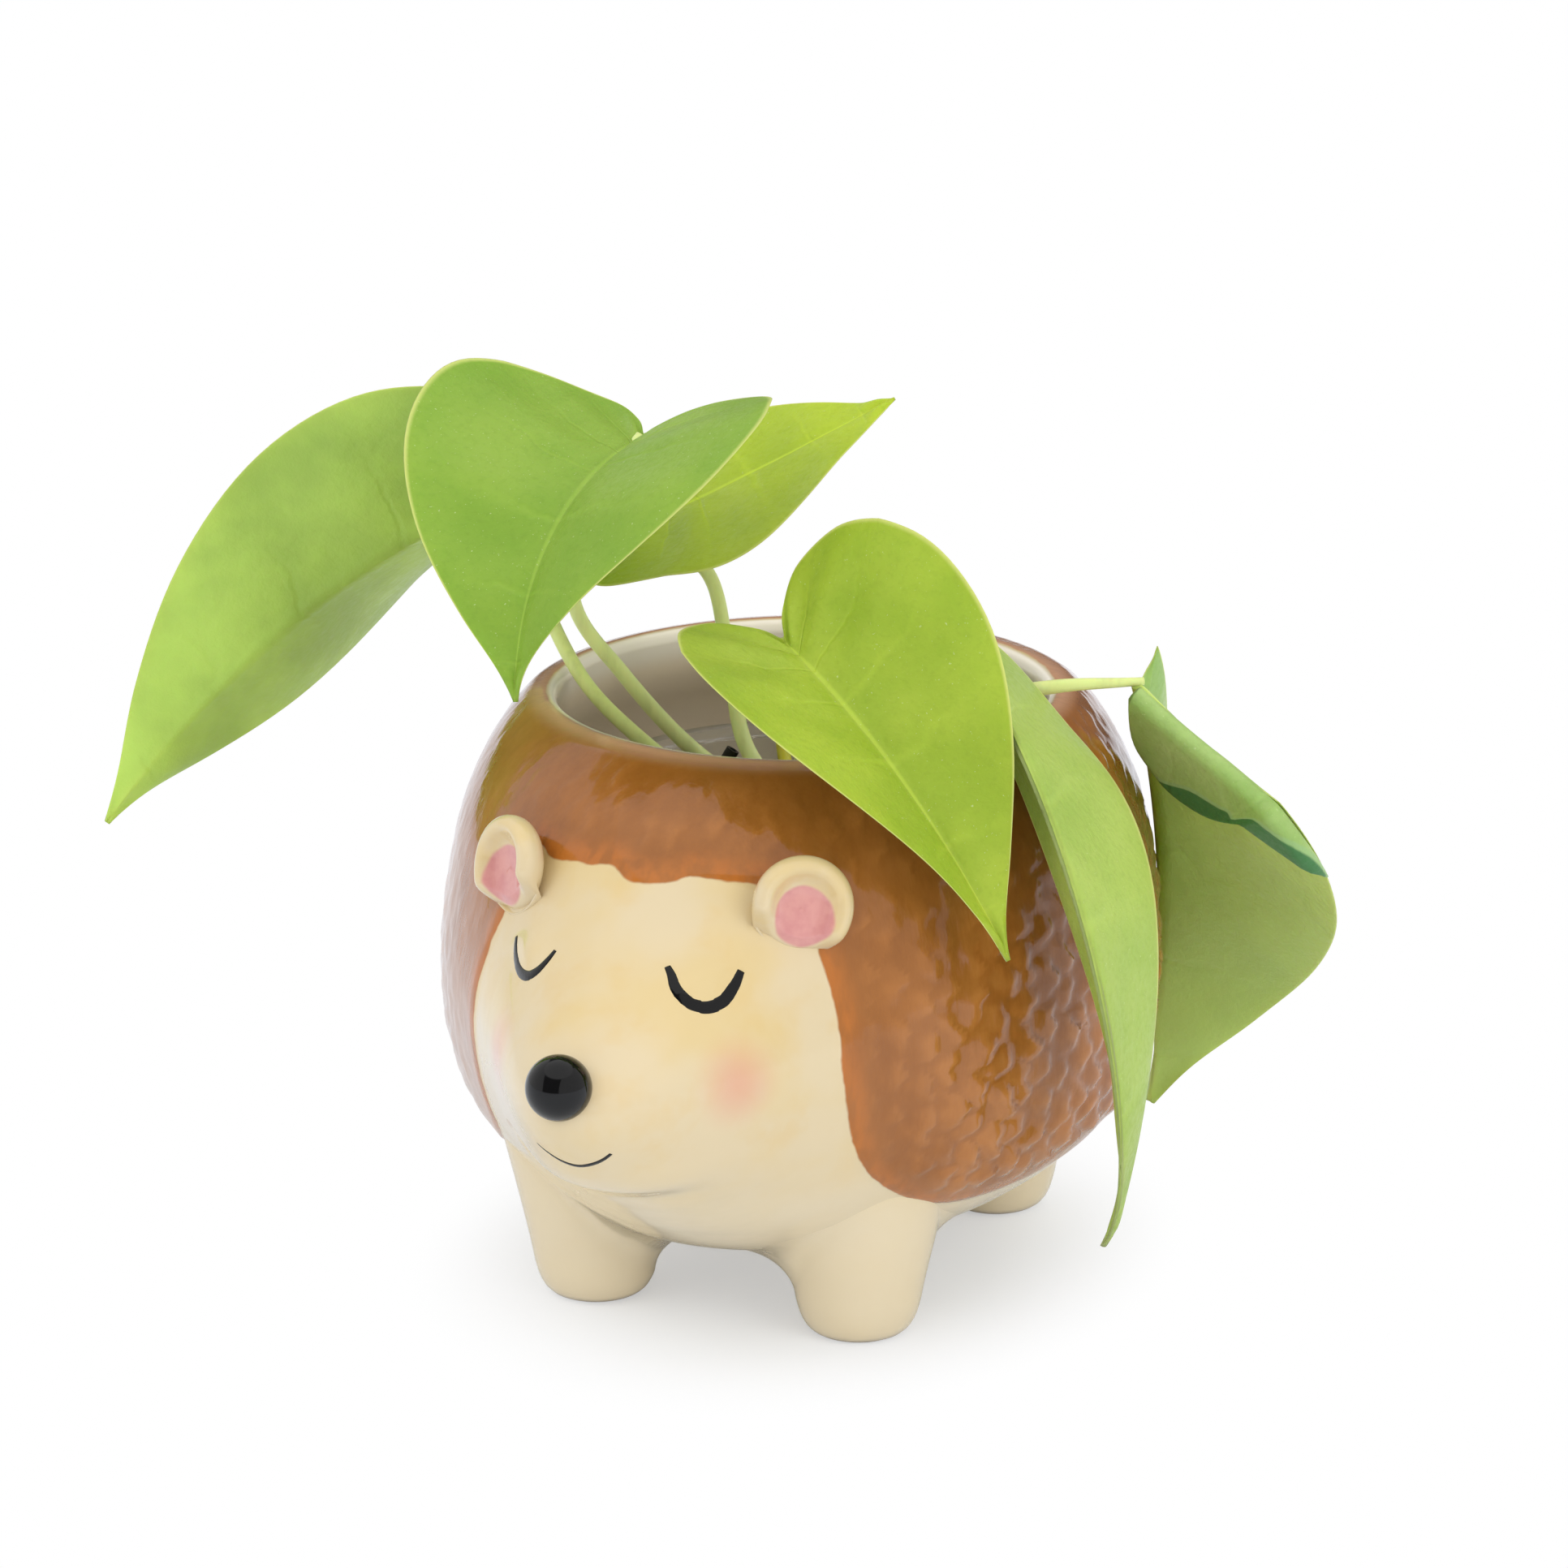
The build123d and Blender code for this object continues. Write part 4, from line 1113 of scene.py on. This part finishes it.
class PLANTER_OT_stems(bpy.types.Operator):
    """Make the crown, the six leaf stems and the old yellow stem"""
    bl_idname = "planter.stems"
    bl_label = "Stems"

    def execute(self, context):
        settings = context.scene.planter_plant
        green = stem_finish("green stem", settings.stem_green, settings.stem_pale)
        yellow = stem_finish("yellowed stem", settings.stem_yellow, settings.stem_yellow)
        thin = settings.stem_radius / MM
        for name, points in STEMS.items():
            base = np.array(LEAVES[name]["base"])
            run = unit(base - np.array(points[-1]))
            points, tail = [*points, base - run * 0.3], thin * 1.02
            if name == "curled":
                points, tail = [*points, base + run * 1.6], thin * 0.5
            rows, share = tube_grid(points, (thin, thin, thin * 0.93, thin * 0.9, tail))
            add_piece("stem_" + name, skin(rows), green, "plant",
                      ["petiole_" + name], {"along": spread(share)})
        rows, share = tube_grid(YELLOW_STEM, (1.2, 1.1, 1.2), samples=50)
        add_piece("stem_yellow", skin(rows), yellow, "plant", ["old_petiole"],
                  {"along": spread(share)})
        low, high = box_corners("vine_crown")
        points = ((0, 0, low[2] + 0.3), (0.2, 0, 60), (0, 0.2, 68), (0, 0, high[2] - 0.3))
        rows, share = tube_grid(points, (3.6, 3.9, 4.1, 3.6, 2.2), around=32, samples=50)
        add_piece("crown", skin(rows), green, "plant", ["vine_crown"],
                  {"along": spread(share * 0.4)})
        return {"FINISHED"}


class PLANTER_OT_leaves(bpy.types.Operator):
    """Make the six heart-shaped leaf blades"""
    bl_idname = "planter.leaves"
    bl_label = "Leaves"

    def execute(self, context):
        for name, leaf in LEAVES.items():
            surface, values = leaf_surface(leaf)
            deep, pale = leaf["greens"]
            material = leaf_finish("leaf " + name, pale, deep, leaf.get("below", UNDERSIDE),
                                   name == "curled")
            add_piece("blade_" + name, surface, material, "plant", ["leaf_" + name],
                      values)
        return {"FINISHED"}


class PLANTER_OT_stage(bpy.types.Operator):
    """Make the pale floor, the soft lights and the camera"""
    bl_idname = "planter.stage"
    bl_label = "Stage"

    def execute(self, context):
        settings = context.scene.planter_stage
        scene = context.scene
        # The camera stands 1 m away and aims a little to its left of the middle, below the lip.
        turn, rise, distance = math.radians(22.4), math.radians(16.9), 1.0
        aside, height = -0.0027, 0.078
        back = Vector(heading_vector(turn, rise))
        camera = bpy.data.objects.new("camera", bpy.data.cameras.new("camera"))
        target = Vector((aside * math.cos(turn), aside * math.sin(turn), height))
        camera.location = target + back * distance
        camera.data.sensor_width, camera.data.lens = 36.0, 144.0
        camera.data.clip_start, camera.data.clip_end = 0.05, 30.0
        scene.camera = camera
        scene.view_settings.view_transform = "Standard"

        mesh = bpy.data.meshes.new("floor")
        mesh.from_pydata([(-6, -6, 0), (6, -6, 0), (6, 6, 0), (-6, 6, 0)], [], [(0, 1, 2, 3)])
        mesh.materials.append(studio_floor())
        floor = bpy.data.objects.new("floor", mesh)
        scene.collection.objects.link(floor)

        world = bpy.data.worlds.new("white studio")
        scene.world = world
        world.use_nodes = True
        studio_world(world.node_tree, settings.world_strength)

        aimed = [(camera, -back)]
        for name, power, size, place in (
                ("key", settings.key_power, 0.9, (-0.9, -1.1, 1.3)),
                ("fill", settings.fill_power, 0.8, (1.3, -0.7, 0.9)),
                ("top", settings.fill_power * 0.6, 1.2, (0.1, 0.6, 1.6))):
            lamp = bpy.data.objects.new(name, bpy.data.lights.new(name, "AREA"))
            lamp.data.energy, lamp.data.size = power, size
            lamp.location = place
            lamp.visible_glossy = False
            aimed.append((lamp, Vector((0, 0, 0.06)) - Vector(place)))
        for item, ahead in aimed:
            item.rotation_mode = "QUATERNION"
            item.rotation_quaternion = ahead.to_track_quat("-Z", "Y")
            scene.collection.objects.link(item)
        return {"FINISHED"}


class PLANTER_PT_panel(bpy.types.Panel):
    """Lists the pieces of the planter with their sizes and colours"""
    bl_label = "Planter"
    bl_idname = "PLANTER_PT_panel"
    bl_space_type = "VIEW_3D"
    bl_region_type = "UI"
    bl_category = "Planter"

    def draw(self, context):
        for operator in OPERATORS:
            self.layout.operator(operator.bl_idname)
        for name, _ in GROUPS:
            owner = getattr(context.scene, name)
            box = self.layout.box()
            for key in owner.bl_rna.properties.keys():
                if key not in ("rna_type", "name"):
                    box.prop(owner, key)


OPERATORS = (PLANTER_OT_pot, PLANTER_OT_ears, PLANTER_OT_face, PLANTER_OT_liner, PLANTER_OT_mix,
             PLANTER_OT_stems, PLANTER_OT_leaves, PLANTER_OT_stage)
GROUPS = (("planter_pot", PotSettings), ("planter_plant", PlantSettings),
          ("planter_stage", StageSettings))


def register():
    for name, group in GROUPS:
        bpy.utils.register_class(group)
        setattr(bpy.types.Scene, name, bpy.props.PointerProperty(type=group))
    for operator in OPERATORS:
        bpy.utils.register_class(operator)
    bpy.utils.register_class(PLANTER_PT_panel)


def unregister():
    bpy.utils.unregister_class(PLANTER_PT_panel)
    for operator in reversed(OPERATORS):
        bpy.utils.unregister_class(operator)
    for name, group in reversed(GROUPS):
        delattr(bpy.types.Scene, name)
        bpy.utils.unregister_class(group)


def main():
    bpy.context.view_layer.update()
    register()
    bpy.ops.planter.pot()
    bpy.ops.planter.ears()
    bpy.ops.planter.face()
    bpy.ops.planter.liner()
    bpy.ops.planter.mix()
    bpy.ops.planter.stems()
    bpy.ops.planter.leaves()
    bpy.ops.planter.stage()


if __name__ == "__main__":
    main()
